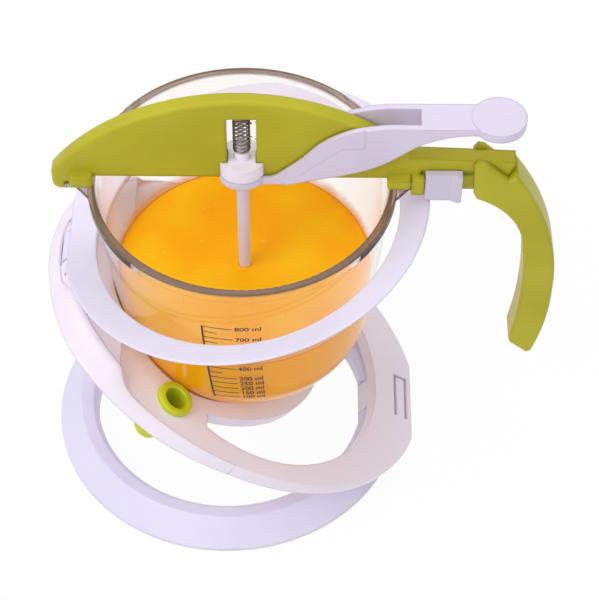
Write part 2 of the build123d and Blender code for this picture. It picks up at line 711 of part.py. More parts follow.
# Handle: C-shaped grip, forked over the end of the beam
with BuildPart() as handle:
    with BuildSketch(rim_front):
        with BuildLine():
            Polyline(
                (36.5, -6.9),
                (34.9, -3.2),
                (34.2, 13.8),
                (36.2, 17.0),
                (39.5, 16.2),
                (50.6, 5.4),
                (54.6, 7.8),
            )
            ThreePointArc((54.6, 7.8), (70.2, -22.7), (78.2, -73.2))
            ThreePointArc((78.2, -73.2), (77.2, -95.2), (72.2, -120.2))
            Polyline((72.2, -120.2), (69.6, -121.8), (60.6, -113.6), (59.9, -110.6))
            ThreePointArc((59.9, -110.6), (62.9, -75.2), (60.6, -38.7))
            ThreePointArc((60.6, -38.7), (53.3, -20.0), (36.5, -6.9))
        make_face()
    extrude(amount=HANDLE_HALF, both=True)
    fillet(handle.faces().filter_by(Axis.Y).edges(), HANDLE_ROUND)
    with BuildSketch(front):
        with BuildLine():
            Polyline(
                (BEAM_DEEP_START, BEAM_DEEP - SLIDE_GAP),
                (BEAM_END_FOOT + SLIDE_GAP, BEAM_DEEP - SLIDE_GAP),
                (BEAM_END + SLIDE_GAP, BEAM_END_TOP),
                (BEAM_END + SLIDE_GAP, BEAM_TOP + 10),
                (BEAM_DEEP_START, BEAM_TOP + 10),
                close=True,
            )
        make_face()
    extrude(amount=BRIDGE_HALF + PART_GAP, both=True, mode=Mode.SUBTRACT)
    with BuildSketch(front):
        with Locations((HANDLE_PIN_X, HANDLE_PIN_Z)):
            Circle(HANDLE_PIN_RADIUS)
    extrude(amount=HANDLE_PIN_HALF, both=True, mode=Mode.SUBTRACT)
handle.part.label = "handle"
export_step(handle.part, "parts/handle.step")

with BuildPart() as handle_pin:
    with BuildSketch(front):
        with Locations((HANDLE_PIN_X, HANDLE_PIN_Z)):
            Circle(HANDLE_PIN_RADIUS)
    extrude(amount=HANDLE_PIN_HALF, both=True)
handle_pin.part.label = "handle_pin"
export_step(handle_pin.part, "parts/handle_pin.step")

# Lever: thumb pad, neck and two arms with half-round fingers under the plunger head
with BuildPart() as lever:
    with BuildSketch(front):
        with BuildLine():
            Line((4.0, FINGER_TOP), (11.6, FINGER_TOP))
            Spline(
                (11.6, FINGER_TOP),
                (18.5, rim_height + 9.2),
                (26.6, rim_height + 16.8),
                (35.5, rim_height + 27.2),
                (44.3, rim_height + 33.6),
                (53.2, rim_height + 37.2),
                (63.0, rim_height + 39.1),
                (72.0, LEVER_TOP),
                tangents=((1, 0), (1, 0)),
            )
            Line((72.0, LEVER_TOP), (PAD_X, LEVER_TOP))
            Line((PAD_X, LEVER_TOP), (PAD_X, LEVER_TOP - PAD_THICKNESS))
            Line((PAD_X, LEVER_TOP - PAD_THICKNESS), (104.0, LEVER_TOP - PAD_THICKNESS))
            Spline(
                (104.0, LEVER_TOP - PAD_THICKNESS),
                (89.0, rim_height + 33.0),
                (80.4, rim_height + 29.0),
                (71.8, rim_height + 22.3),
                (63.0, rim_height + 16.0),
                (47.0, rim_height + 9.4),
                (26.6, rim_height + 4.2),
                (9.0, FINGER_TOP - FINGER_THICKNESS),
                tangents=((-1, 0), (-1, 0)),
            )
            Line((9.0, FINGER_TOP - FINGER_THICKNESS), (4.0, FINGER_TOP - FINGER_THICKNESS))
            Line((4.0, FINGER_TOP - FINGER_THICKNESS), (4.0, FINGER_TOP))
        make_face()
    extrude(amount=LEVER_HALF, both=True)
    with BuildSketch(Plane.XY.offset(LEVER_TOP - PAD_THICKNESS)):
        with Locations((bowl_x + PAD_X, 0)):
            Circle(PAD_RADIUS)
    extrude(amount=PAD_THICKNESS + PAD_RAISE)
    with BuildSketch(Plane.XY.offset(FINGER_TOP - FINGER_THICKNESS)):
        with Locations((bowl_x, 0)):
            Circle(FINGER_RADIUS)
    extrude(amount=FINGER_THICKNESS)
    with BuildSketch(Plane.XY.offset(FINGER_TOP - 20)):
        with Locations((bowl_x + (LEVER_FORK_END - 40) / 2, 0)):
            Rectangle(LEVER_FORK_END + 40, 2 * LEVER_GAP_HALF)
    extrude(amount=80, mode=Mode.SUBTRACT)
    recess_shape = [(16.5, 0), (45.4, 25.9), (ARM_RECESS_END, 26.4), (ARM_RECESS_END, 50)]
    recess_shape += [(ARM_RECESS_START, 50), (ARM_RECESS_START, 0)]
    for side in (-1, 1):
        with BuildSketch(front.offset(side * (LEVER_HALF - ARM_RECESS))):
            with BuildLine():
                Polyline(*[(x, rim_height + z) for x, z in recess_shape], close=True)
            make_face()
        extrude(amount=side * 3, mode=Mode.SUBTRACT)
    with BuildSketch(front):
        with Locations((LEVER_X, LEVER_Z)):
            Circle(LEVER_PIN_RADIUS + RUN_FIT)
    extrude(amount=LEVER_PIN_HALF + PART_GAP, both=True, mode=Mode.SUBTRACT)
lever.part.label = "lever"
export_step(lever.part, "parts/lever.step")

with BuildPart() as lever_pin:
    with BuildSketch(front):
        with Locations((LEVER_X, LEVER_Z)):
            Circle(LEVER_PIN_RADIUS)
    extrude(amount=LEVER_PIN_HALF, both=True)
lever_pin.part.label = "lever_pin"
export_step(lever_pin.part, "parts/lever_pin.step")

# Plunger: head guided in the slot, rod, stopper tip and its seal
with BuildPart() as plunger_head:
    with BuildSketch(Plane.XY.offset(HEAD_BOTTOM)):
        with Locations((bowl_x, 0)):
            Circle(HEAD_RADIUS)
        for side in (-1, 1):
            with Locations((bowl_x + side * (SLOT_HALF - PART_GAP + 10), 0)):
                Rectangle(20, 2 * (BRIDGE_HALF + SLIDE_GAP), mode=Mode.SUBTRACT)
    extrude(amount=HEAD_TOP - HEAD_BOTTOM)
    with BuildSketch(Plane.XY.offset(HEAD_TOP)):
        with Locations((bowl_x, 0)):
            Circle(HEAD_BOSS_RADIUS)
    extrude(amount=HEAD_BOSS_TOP - HEAD_TOP)
    with BuildSketch(Plane.XY.offset(HEAD_BOSS_TOP)):
        with Locations((bowl_x, 0)):
            Circle(HEAD_PIN_RADIUS)
    extrude(amount=HEAD_PIN_TOP - HEAD_BOSS_TOP)
    with BuildSketch(Plane.XY.offset(HEAD_BOTTOM)):
        with Locations((bowl_x, 0)):
            Circle(SPIGOT_RADIUS)
    extrude(amount=SPIGOT_LENGTH + PART_GAP, mode=Mode.SUBTRACT)
plunger_head.part.label = "plunger_head"
export_step(plunger_head.part, "parts/plunger_head.step")

collar_bottom = bowl_floor + TIP_COLLAR_BASE
collar_top = collar_bottom + TIP_COLLAR_HEIGHT
with BuildPart() as plunger_rod:
    with BuildSketch(Plane.XY.offset(collar_top)):
        with Locations((bowl_x, 0)):
            Circle(ROD_RADIUS)
    extrude(amount=HEAD_BOTTOM - collar_top)
    with BuildSketch(Plane.XY.offset(HEAD_BOTTOM)):
        with Locations((bowl_x, 0)):
            Circle(SPIGOT_RADIUS)
    extrude(amount=SPIGOT_LENGTH)
    with BuildSketch(Plane.XY.offset(collar_top)):
        with Locations((bowl_x, 0)):
            Circle(SPIGOT_RADIUS)
    extrude(amount=-SPIGOT_LENGTH)
plunger_rod.part.label = "plunger_rod"
export_step(plunger_rod.part, "parts/plunger_rod.step")

nose_radius = OUTLET_RADIUS - SLIDE_GAP
with BuildPart() as plunger_tip:
    with BuildSketch(front):
        with BuildLine():
            Polyline(
                (0, neck_bottom + 1),
                (nose_radius - 1, neck_bottom + 1),
                (nose_radius, neck_bottom + 2),
                (nose_radius, collar_bottom),
                (TIP_COLLAR_RADIUS, collar_bottom),
                (TIP_COLLAR_RADIUS, collar_bottom + 1.5),
                (ROD_RADIUS + 0.8, collar_top),
                (SPIGOT_RADIUS, collar_top),
                (SPIGOT_RADIUS, collar_top - SPIGOT_LENGTH - PART_GAP),
                (0, collar_top - SPIGOT_LENGTH - PART_GAP),
                close=True,
            )
        make_face()
    revolve(axis=bowl_axis)
plunger_tip.part.label = "plunger_tip"
export_step(plunger_tip.part, "parts/plunger_tip.step")

with BuildPart() as tip_seal:
    with BuildSketch(Plane.XY.offset(bowl_floor + SEAL_LIFT)):
        with Locations((bowl_x, 0)):
            Circle(SEAL_RADIUS)
            Circle(nose_radius, mode=Mode.SUBTRACT)
    extrude(amount=TIP_COLLAR_BASE - SEAL_LIFT)
tip_seal.part.label = "tip_seal"
export_step(tip_seal.part, "parts/tip_seal.step")

# Batter: what the bowl holds, with room for the rod and for the lift of the tip
pool_floor, pool_arc, pool_wall, pool_rim, pool_height = bowl_side(-BATTER_GAP)
pool_edge = pool_wall[0] + (batter_level - pool_wall[1]) * tan(radians(BOWL_TAPER))
tip_room = SEAL_RADIUS + BATTER_ROOM
rod_room = ROD_RADIUS + PART_GAP
room_top = collar_top + PLUNGER_TRAVEL + BATTER_ROOM
with BuildPart() as batter:
    with BuildSketch(front):
        with BuildLine():
            Polyline(
                pool_floor,
                (tip_room, pool_height(tip_room)),
                (tip_room, room_top),
                (rod_room, room_top),
                (rod_room, batter_level),
                (pool_edge, batter_level),
                pool_wall,
            )
            ThreePointArc(pool_wall, pool_arc, pool_floor)
        make_face()
    revolve(axis=bowl_axis)
batter.part.label = "batter"
export_step(batter.part, "parts/batter.step")

# Return spring: one wire on arcs of an eighth turn that meet in tangent
spring_bottom = HEAD_BOSS_TOP + SPRING_WIRE + 0.05
spring_top = SLOT_TOP - SPRING_WIRE - 0.05
quarters = 4 * SPRING_TURNS
open_pitch = (spring_top - spring_bottom - 2 * SPRING_END_PITCH) / (SPRING_TURNS - 2)
heights = [spring_bottom]
for step in range(quarters):
    closed_end = step < 4 or step >= quarters - 4
    heights.append(heights[-1] + (SPRING_END_PITCH if closed_end else open_pitch) / 4)
nodes = []
for step, height in enumerate(heights):
    angle = step * pi / 2
    rise = heights[min(step + 1, quarters)] - heights[max(step - 1, 0)]
    rise /= min(step + 1, quarters) - max(step - 1, 0)
    spot = Vector(bowl_x + SPRING_RADIUS * cos(angle), SPRING_RADIUS * sin(angle), height)
    heading = Vector(-SPRING_RADIUS * sin(angle), SPRING_RADIUS * cos(angle), rise / (pi / 2))
    nodes.append((spot, heading.normalized()))
with BuildPart() as return_spring:
    with BuildLine() as spring_path:
        for (spot, heading), (next_spot, next_heading) in zip(nodes, nodes[1:]):
            chord = next_spot - spot
            both = heading + next_heading
            bend = 2 * (1 - heading.dot(next_heading))
            reach = (sqrt(chord.dot(both) ** 2 + bend * chord.dot(chord)) - chord.dot(both)) / bend
            first_control = spot + heading * reach
            second_control = next_spot - next_heading * reach
            joint = (first_control + second_control) * 0.5
            TangentArc(spot, joint, tangent=heading)
            TangentArc(joint, next_spot, tangent=second_control - first_control)
    with BuildSketch(Plane(origin=nodes[0][0], z_dir=nodes[0][1])):
        Circle(SPRING_WIRE)
    sweep(path=spring_path.wire())
return_spring.part.label = "return_spring"
path = spring_path.wire()
samples = 80 * SPRING_TURNS
spots = [tuple(path.position_at(i / samples)) for i in range(samples + 1)]
apart = [dist(p, q) for i, p in enumerate(spots) for q in spots[i + 40:]]
print("return_spring: least gap to itself", round(min(apart) - 2 * SPRING_WIRE, 3), "mm")
export_step(return_spring.part, "parts/return_spring.step")

# Lock slider: saddle under the beam, with lips in the beam's grooves and the locking tongue
with BuildPart() as lock_slider:
    with BuildSketch(front):
        with BuildLine():
            Polyline(
                (SLIDER_START, SLIDER_BOTTOM),
                (SLIDER_END, SLIDER_BOTTOM),
                (SLIDER_END, SLIDER_TOP),
                (SLIDER_START, SLIDER_TOP),
                close=True,
            )
        make_face()
    extrude(amount=SLIDER_HALF, both=True)
    with BuildSketch(Plane.XY.offset(SLIDER_BOTTOM)):
        with BuildLine():
            Polyline(
                (bowl_x + SLIDER_RIDGE_START, -SLIDER_HALF),
                (bowl_x + SLIDER_END - 2, -SLIDER_HALF - SLIDER_RIDGE),
                (bowl_x + SLIDER_END, -SLIDER_HALF - SLIDER_RIDGE),
                (bowl_x + SLIDER_END, SLIDER_HALF + SLIDER_RIDGE),
                (bowl_x + SLIDER_END - 2, SLIDER_HALF + SLIDER_RIDGE),
                (bowl_x + SLIDER_RIDGE_START, SLIDER_HALF),
                close=True,
            )
        make_face()
    extrude(amount=SLIDER_TOP - SLIDER_BOTTOM)
    with BuildSketch(front):
        with BuildLine():
            Polyline(
                (SLIDER_START - 1, SLIDER_FLOOR),
                (SLIDER_END + 1, SLIDER_FLOOR),
                (SLIDER_END + 1, SLIDER_TOP + 1),
                (SLIDER_START - 1, SLIDER_TOP + 1),
                close=True,
            )
        make_face()
    extrude(amount=SLIDER_INNER, both=True, mode=Mode.SUBTRACT)
    for side in (-1, 1):
        lip_outer = SLIDER_INNER + 0.4
        lip_inner = BRIDGE_HALF - GROOVE_DEPTH + PART_GAP
        with BuildSketch(front.offset(side * lip_outer)):
            with BuildLine():
                Polyline(
                    (SLIDER_START, GROOVE_BOTTOM + PART_GAP),
                    (SLIDER_END, GROOVE_BOTTOM + PART_GAP),
                    (SLIDER_END, GROOVE_TOP - PART_GAP),
                    (SLIDER_START, GROOVE_TOP - PART_GAP),
                    close=True,
                )
            make_face()
        extrude(amount=-side * (lip_outer - lip_inner))
    with BuildSketch(front):
        with BuildLine():
            Polyline(
                (SLIDER_TONGUE_START, SLIDER_TONGUE_BOTTOM),
                (SLIDER_START + 1, SLIDER_TONGUE_BOTTOM),
                (SLIDER_START + 1, SLIDER_FLOOR),
                (SLIDER_TONGUE_START, SLIDER_FLOOR),
                close=True,
            )
        make_face()
    extrude(amount=SLIDER_TONGUE_HALF, both=True)
lock_slider.part.label = "lock_slider"
export_step(lock_slider.part, "parts/lock_slider.step")
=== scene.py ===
"""Looks of the batter dispenser: finishes, batter, printed scales, studio and camera.

Lengths are in metres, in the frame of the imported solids.
"""

import logging
import math
from abc import ABC, abstractmethod
from dataclasses import dataclass, field
from enum import Enum
from functools import cache
from typing import Any, Mapping, Sequence, Union

import bmesh
import bpy
from mathutils import Matrix, Vector
from mathutils.bvhtree import BVHTree


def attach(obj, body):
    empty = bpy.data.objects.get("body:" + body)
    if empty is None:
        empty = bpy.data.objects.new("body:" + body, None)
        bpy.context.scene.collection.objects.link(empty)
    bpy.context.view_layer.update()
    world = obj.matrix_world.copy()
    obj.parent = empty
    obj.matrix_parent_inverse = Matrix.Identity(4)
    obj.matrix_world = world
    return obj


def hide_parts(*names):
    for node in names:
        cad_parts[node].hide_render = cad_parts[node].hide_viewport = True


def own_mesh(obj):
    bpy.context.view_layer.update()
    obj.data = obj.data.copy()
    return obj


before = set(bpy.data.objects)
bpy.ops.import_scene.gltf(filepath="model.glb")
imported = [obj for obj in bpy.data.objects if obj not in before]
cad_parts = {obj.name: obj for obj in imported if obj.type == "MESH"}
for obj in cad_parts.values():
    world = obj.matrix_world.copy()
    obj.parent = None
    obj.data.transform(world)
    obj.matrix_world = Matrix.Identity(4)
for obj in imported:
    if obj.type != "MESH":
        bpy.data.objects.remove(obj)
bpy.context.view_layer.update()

log = logging.getLogger("batter_dispenser")

Colour = tuple[float, float, float, float]
Point = tuple[float, float, float]
Pair = tuple[float, float]
Operand = Union["Wire", float]

WHITE: Colour = (1.0, 1.0, 1.0, 1.0)
NOISE_MIDDLE = 0.5
BEVEL_SAMPLES = 6

# The sockets of a Mix node that mixes colours.
MIX_SHARE, MIX_FIRST, MIX_SECOND, MIX_RESULT = 0, 6, 7, 2

# The curve from display values to light: its straight foot, then its power.
DISPLAY_FULL = 255
CURVE_KNEE = 0.04045
CURVE_SLOPE = 12.92
CURVE_OFFSET = 0.055
CURVE_POWER = 2.4


class Body(Enum):
    """The moving bodies that pieces ride on."""

    DISPENSER = "dispenser"
    PLUNGER = "plunger"
    TRAY = "tray"


class Ray(Enum):
    """The kinds of rays that a material tells apart."""

    CAMERA = "Is Camera Ray"
    SHADOW = "Is Shadow Ray"
    DIFFUSE = "Is Diffuse Ray"
    GLOSSY = "Is Glossy Ray"
    TRANSMISSION = "Is Transmission Ray"


@dataclass(frozen=True)
class Tint:
    """A colour in display values from 0 to 255."""

    red: float
    green: float
    blue: float

    def linear(self) -> Colour:
        """Gives the colour as linear light with full alpha."""
        red, green, blue = (self._light(part) for part in (self.red, self.green, self.blue))
        return (red, green, blue, 1.0)

    @staticmethod
    def _light(part: float) -> float:
        """Gives the linear light of one display value.

        Args:
            part: The value, from 0 to 255.

        Returns:
            The light, from 0 to 1.
        """
        share = part / DISPLAY_FULL
        if share <= CURVE_KNEE:
            return share / CURVE_SLOPE
        return ((share + CURVE_OFFSET) / (1 + CURVE_OFFSET)) ** CURVE_POWER


@dataclass(frozen=True)
class Cloud:
    """Cloudy noise: the size of a cloud, its finer layers and their weight."""

    size: float
    layers: float
    weight: float


@dataclass(frozen=True)
class Relief:
    """Fine unevenness of a surface: how much of it shows, and how deep it is."""

    share: float
    depth: float


class Wire:
    """A value socket that takes part in Python arithmetic."""

    def __init__(self, graph: "NodeGraph", socket: bpy.types.NodeSocket) -> None:
        """Keeps the socket and the graph that it belongs to."""
        self.graph = graph
        self.socket = socket

    def _join(self, operation: str, first: Operand, second: Operand) -> "Wire":
        """Adds a Math node.

        Args:
            operation: The Math node's operation.
            first: The left value or wire.
            second: The right value or wire.

        Returns:
            The node's result.
        """
        settings = {"operation": operation}
        return self.graph.wire("ShaderNodeMath", settings, {0: first, 1: second}, 0)

    def __add__(self, other: Operand) -> "Wire":
        """Adds a value."""
        return self._join("ADD", self, other)

    def __radd__(self, other: float) -> "Wire":
        """Adds this to a number."""
        return self._join("ADD", other, self)

    def __sub__(self, other: Operand) -> "Wire":
        """Takes a value away."""
        return self._join("SUBTRACT", self, other)

    def __rsub__(self, other: float) -> "Wire":
        """Takes this away from a number."""
        return self._join("SUBTRACT", other, self)

    def __mul__(self, other: Operand) -> "Wire":
        """Multiplies by a value."""
        return self._join("MULTIPLY", self, other)

    def __rmul__(self, other: float) -> "Wire":
        """Multiplies a number by this."""
        return self._join("MULTIPLY", other, self)

    def most(self, other: Operand) -> "Wire":
        """Gives the larger of this and another value."""
        return self._join("MAXIMUM", self, other)

    def swing(self, share: float) -> "Wire":
        """Gives a share of how far a noise lies from its middle."""
        return share * (self - NOISE_MIDDLE)


class NodeGraph:
    """A node tree that is built in code."""

    def __init__(self, tree: bpy.types.NodeTree) -> None:
        """Empties the tree and keeps it."""
        self.tree = tree
        self.tree.nodes.clear()

    def node(
        self,
        kind: str,
        settings: Mapping[str, Any] | None = None,
        sockets: Mapping[Any, Any] | None = None,
    ) -> bpy.types.ShaderNode:
        """Adds one node.

        Args:
            kind: The node's type.
            settings: Its properties, which are set first.
            sockets: Values or links for its inputs, by name or index.

        Returns:
            The new node.
        """
        node = self.tree.nodes.new(kind)
        for key, value in (settings or {}).items():
            setattr(node, key, value)
        for key, value in (sockets or {}).items():
            source = value.socket if isinstance(value, Wire) else value
            if isinstance(source, bpy.types.NodeSocket):
                self.tree.links.new(source, node.inputs[key])
            else:
                node.inputs[key].default_value = source
        return node

    def wire(
        self, kind: str, settings: Mapping[str, Any], sockets: Mapping[Any, Any], out: Any
    ) -> Wire:
        """Adds one node and gives one of its outputs as a wire.

        Args:
            kind: The node's type.
            settings: Its properties.
            sockets: Values or links for its inputs.
            out: The output's name or index.

        Returns:
            The wrapped output.
        """
        return Wire(self, self.node(kind, settings, sockets).outputs[out])

    def place(self) -> bpy.types.NodeSocket:
        """Gives the object's own coordinates."""
        return self.node("ShaderNodeTexCoord").outputs["Object"]

    def height(self, place: bpy.types.NodeSocket) -> Wire:
        """Gives the height of a place."""
        return self.wire("ShaderNodeSeparateXYZ", {}, {"Vector": place}, "Z")

    def noise(self, place: bpy.types.NodeSocket, cloud: Cloud) -> Wire:
        """Adds cloudy noise.

        Args:
            place: The coordinates.
            cloud: The noise's size and layers.

        Returns:
            The noise from 0 to 1.
        """
        sockets = {
            "Vector": place,
            "Scale": 1 / cloud.size,
            "Detail": cloud.layers,
            "Roughness": cloud.weight,
        }
        return self.wire("ShaderNodeTexNoise", {}, sockets, "Fac")

    def ramp(self, value: Wire, span: Pair) -> Wire:
        """Maps a value from the two ends of a span to 0 and 1, smoothly.

        Args:
            value: The wire to map.
            span: The values that give 0 and 1.

        Returns:
            The mapped value.
        """
        settings = {"interpolation_type": "SMOOTHSTEP"}
        sockets = {"Value": value, "From Min": span[0], "From Max": span[1]}
        return self.wire("ShaderNodeMapRange", settings, sockets, 0)

    def blend(self, share: Wire, first: Any, second: Any) -> bpy.types.NodeSocket:
        """Mixes two colours.

        Args:
            share: How much of the second colour shows.
            first: The first colour or link.
            second: The second colour or link.

        Returns:
            The mixed colour.
        """
        sockets = {MIX_SHARE: share, MIX_FIRST: first, MIX_SECOND: second}
        return self.node("ShaderNodeMix", {"data_type": "RGBA"}, sockets).outputs[MIX_RESULT]

    def mottle(
        self, value: Wire, span: Pair, first: Tint, second: Tint
    ) -> bpy.types.NodeSocket:
        """Goes from one tint to another over a span of a value.

        Args:
            value: The wire to follow.
            span: The values at which the first and the second tint are full.
            first: The first tint.
            second: The second tint.

        Returns:
            The mottled colour.
        """
        return self.blend(self.ramp(value, span), first.linear(), second.linear())

    def bump(self, height: Wire, relief: Relief, edge: float = 0.0) -> bpy.types.NodeSocket:
        """Gives a normal with a fine relief, on edges that are rounded.

        Args:
            height: The relief's pattern.
            relief: How much of it shows, and its depth.
            edge: The radius of the rounded edges, or 0 for sharp ones.

        Returns:
            The normal.
        """
        sockets = {"Strength": relief.share, "Distance": relief.depth, "Height": height}
        if edge:
            round_edge = self.node("ShaderNodeBevel", {"samples": BEVEL_SAMPLES}, {"Radius": edge})
            sockets["Normal"] = round_edge.outputs[0]
        return self.node("ShaderNodeBump", {}, sockets).outputs[0]

    def ray_kind(self, *kinds: Ray) -> Wire:
        """Gives 1 for rays of any of these kinds, and 0 for others.

        Args:
            kinds: One kind or more.

        Returns:
            The 0 or 1.
        """
        path = self.node("ShaderNodeLightPath")
        seen = Wire(self, path.outputs[kinds[0].value])
        for kind in kinds[1:]:
            seen = seen.most(Wire(self, path.outputs[kind.value]))
        return seen

    def principled(self, sockets: Mapping[str, Any]) -> bpy.types.ShaderNode:
        """Adds a Principled shader."""
        return self.node("ShaderNodeBsdfPrincipled", {}, sockets)

    def mix(
        self, share: Wire, first: bpy.types.ShaderNode, second: bpy.types.ShaderNode
    ) -> bpy.types.ShaderNode:
        """Mixes two shaders.

        Args:
            share: How much of the second shader shows.
            first: The first shader's node.
            second: The second shader's node.

        Returns:
            The node of the mixed shader.
        """
        sockets = {0: share, 1: first.outputs[0], 2: second.outputs[0]}
        return self.node("ShaderNodeMixShader", {}, sockets)


class ShaderGraph(NodeGraph):
    """The node tree of one material."""

    def __init__(self, name: str) -> None:
        """Starts a material with an empty tree.

        Args:
            name: The material's name.
        """
        self.material = bpy.data.materials.new(name)
        self.material.use_nodes = True
        super().__init__(self.material.node_tree)

    def finish(self, shader: bpy.types.ShaderNode) -> bpy.types.Material:
        """Links the last shader to the output and gives the material."""
        self.node("ShaderNodeOutputMaterial", {}, {"Surface": shader.outputs[0]})
        return self.material


@dataclass(frozen=True)
class Finish(ABC):
    """A finish, built once and shared by all that wear it."""

    name: str
    tint: Tint

    @cache
    def material(self) -> bpy.types.Material:
        """Gives the material, which the first call builds."""
        graph = ShaderGraph(self.name)
        return graph.finish(self.shader(graph))

    @abstractmethod
    def shader(self, graph: ShaderGraph) -> bpy.types.ShaderNode:
        """Adds the finish's nodes.

        Args:
            graph: The material's tree.

        Returns:
            The node of the finished shader.
        """


@dataclass(frozen=True)
class MouldedPlastic(Finish):
    """Injection-moulded plastic with a satin grain and softened edges."""

    shade: Tint
    grain: Cloud
    relief: Relief
    roughness: float
    edge: float
    shine: float = 0.5
    glow: float = 0.05
    glow_depth: float = 0.004
    index: float = 1.5
    cloud: Cloud = Cloud(0.055, 3.0, 0.55)
    cloud_span: Pair = (0.3, 0.72)
    swirl: Cloud = Cloud(0.009, 4.0, 0.6)
    swirl_share: float = 0.10
    grain_share: float = 0.07

    def shader(self, graph: ShaderGraph) -> bpy.types.ShaderNode:
        """Adds the plastic's nodes.

        Args:
            graph: The material's tree.

        Returns:
            The node of the finished shader.
        """
        place = graph.place()
        cloud = graph.noise(place, self.cloud)
        grain = graph.noise(place, self.grain)
        swirl = graph.noise(place, self.swirl)
        rough = self.roughness + swirl.swing(self.swirl_share) + grain.swing(self.grain_share)
        sockets = {
            "Base Color": graph.mottle(cloud, self.cloud_span, self.tint, self.shade),
            "Roughness": rough,
            "Normal": graph.bump(grain, self.relief, self.edge),
            "IOR": self.index,
            "Specular IOR Level": self.shine,
            "Subsurface Weight": self.glow,
            "Subsurface Scale": self.glow_depth,
        }
        return graph.principled(sockets)


@dataclass(frozen=True)
class ClearPlastic(Finish):
    """Clear moulded plastic of the bowl, with faint handling haze and a brownish painted
    reflection on its rim lip.
    """

    edge: Tint
    lip_painted_reflection: Tint
    lip_painted_reflection_dark: Tint
    lip_height: float
    index: float
    edge_blend: float = 0.35
    edge_span: Pair = (0.55, 1.0)
    smear: Cloud = Cloud(0.030, 4.0, 0.6)
    smear_span: Pair = (0.5, 0.85)
    smear_haze: float = 0.05
    roughness: float = 0.012
    ripple: Cloud = Cloud(0.022, 1.0, 0.4)
    relief: Relief = Relief(0.10, 0.0004)
    lip_span: Pair = (0.3, 0.7)
    lip_roughness: float = 0.22
    lip_cover: float = 0.80
    lip_fade: Pair = (0.0022, 0.0003)

    def shader(self, graph: ShaderGraph) -> bpy.types.ShaderNode:
        """Adds the clear wall's nodes and those of the painted reflection on the lip.

        Args:
            graph: The material's tree.

        Returns:
            The node of the finished shader.
        """
        place = graph.place()
        smear = graph.noise(place, self.smear)
        ripple = graph.noise(place, self.ripple)
        blend = {"Blend": self.edge_blend}
        facing = graph.wire("ShaderNodeLayerWeight", {}, blend, "Facing")
        haze = graph.ramp(smear, self.smear_span)
        sockets = {
            "Base Color": graph.mottle(facing, self.edge_span, self.tint, self.edge),
            "Roughness": self.smear_haze * haze + self.roughness,
            "Normal": graph.bump(ripple, self.relief),
            "IOR": self.index,
            "Transmission Weight": 1.0,
        }
        clear = graph.principled(sockets)
        # The lip gets a painted reflection: brownish tones, mottled at random, laid over the top
        # of the wall.
        painted_reflection_tone = graph.mottle(smear, self.lip_span, self.lip_painted_reflection, self.lip_painted_reflection_dark)
        lip_painted_reflection = graph.principled({"Base Color": painted_reflection_tone, "Roughness": self.lip_roughness})
        fade = (self.lip_height - self.lip_fade[0], self.lip_height - self.lip_fade[1])
        painted_reflection_share = self.lip_cover * graph.ramp(graph.height(place), fade)
        wall = graph.mix(painted_reflection_share, clear, lip_painted_reflection)
        open_way = graph.node("ShaderNodeBsdfTransparent", {}, {"Color": self.tint.linear()})
        return graph.mix(graph.ray_kind(Ray.SHADOW, Ray.DIFFUSE), wall, open_way)


@dataclass(frozen=True)
class Silicone(Finish):
    """Soft translucent silicone with a dusty sheen."""

    shade: Tint
    roughness: float = 0.42
    edge: float = 0.0006
    glow: float = 0.15
    glow_depth: float = 0.003
    cloud: Cloud = Cloud(0.008, 3.0, 0.55)
    cloud_span: Pair = (0.3, 0.75)
    dust: Cloud = Cloud(0.0006, 2.0, 0.6)
    dust_share: float = 0.12
    relief: Relief = Relief(0.3, 0.00008)

    def shader(self, graph: ShaderGraph) -> bpy.types.ShaderNode:
        """Adds the silicone's nodes.

        Args:
            graph: The material's tree.

        Returns:
            The node of the finished shader.
        """
        place = graph.place()
        cloud = graph.noise(place, self.cloud)
        dust = graph.noise(place, self.dust)
        sockets = {
            "Base Color": graph.mottle(cloud, self.cloud_span, self.tint, self.shade),
            "Roughness": self.roughness + dust.swing(self.dust_share),
            "Normal": graph.bump(dust, self.relief, self.edge),
            "Subsurface Weight": self.glow,
            "Subsurface Scale": self.glow_depth,
        }
        return graph.principled(sockets)


@dataclass(frozen=True)
class Steel(Finish):
    """Drawn or turned steel with fine marks."""

    shade: Tint
    roughness: float
    cloud: Cloud = Cloud(0.004, 3.0, 0.6)
    cloud_span: Pair = (0.35, 0.7)
    drawn: Cloud = Cloud(0.0004, 2.0, 0.5)
    drawn_share: float = 0.14
    relief: Relief = Relief(0.2, 0.00002)

    def shader(self, graph: ShaderGraph) -> bpy.types.ShaderNode:
        """Adds the steel's nodes.

        Args:
            graph: The material's tree.

        Returns:
            The node of the finished shader.
        """
        place = graph.place()
        cloud = graph.noise(place, self.cloud)
        drawn = graph.noise(place, self.drawn)
        sockets = {
            "Base Color": graph.mottle(cloud, self.cloud_span, self.tint, self.shade),
            "Metallic": 1.0,
            "Roughness": self.roughness + drawn.swing(self.drawn_share),
            "Normal": graph.bump(drawn, self.relief),
        }
        return graph.principled(sockets)


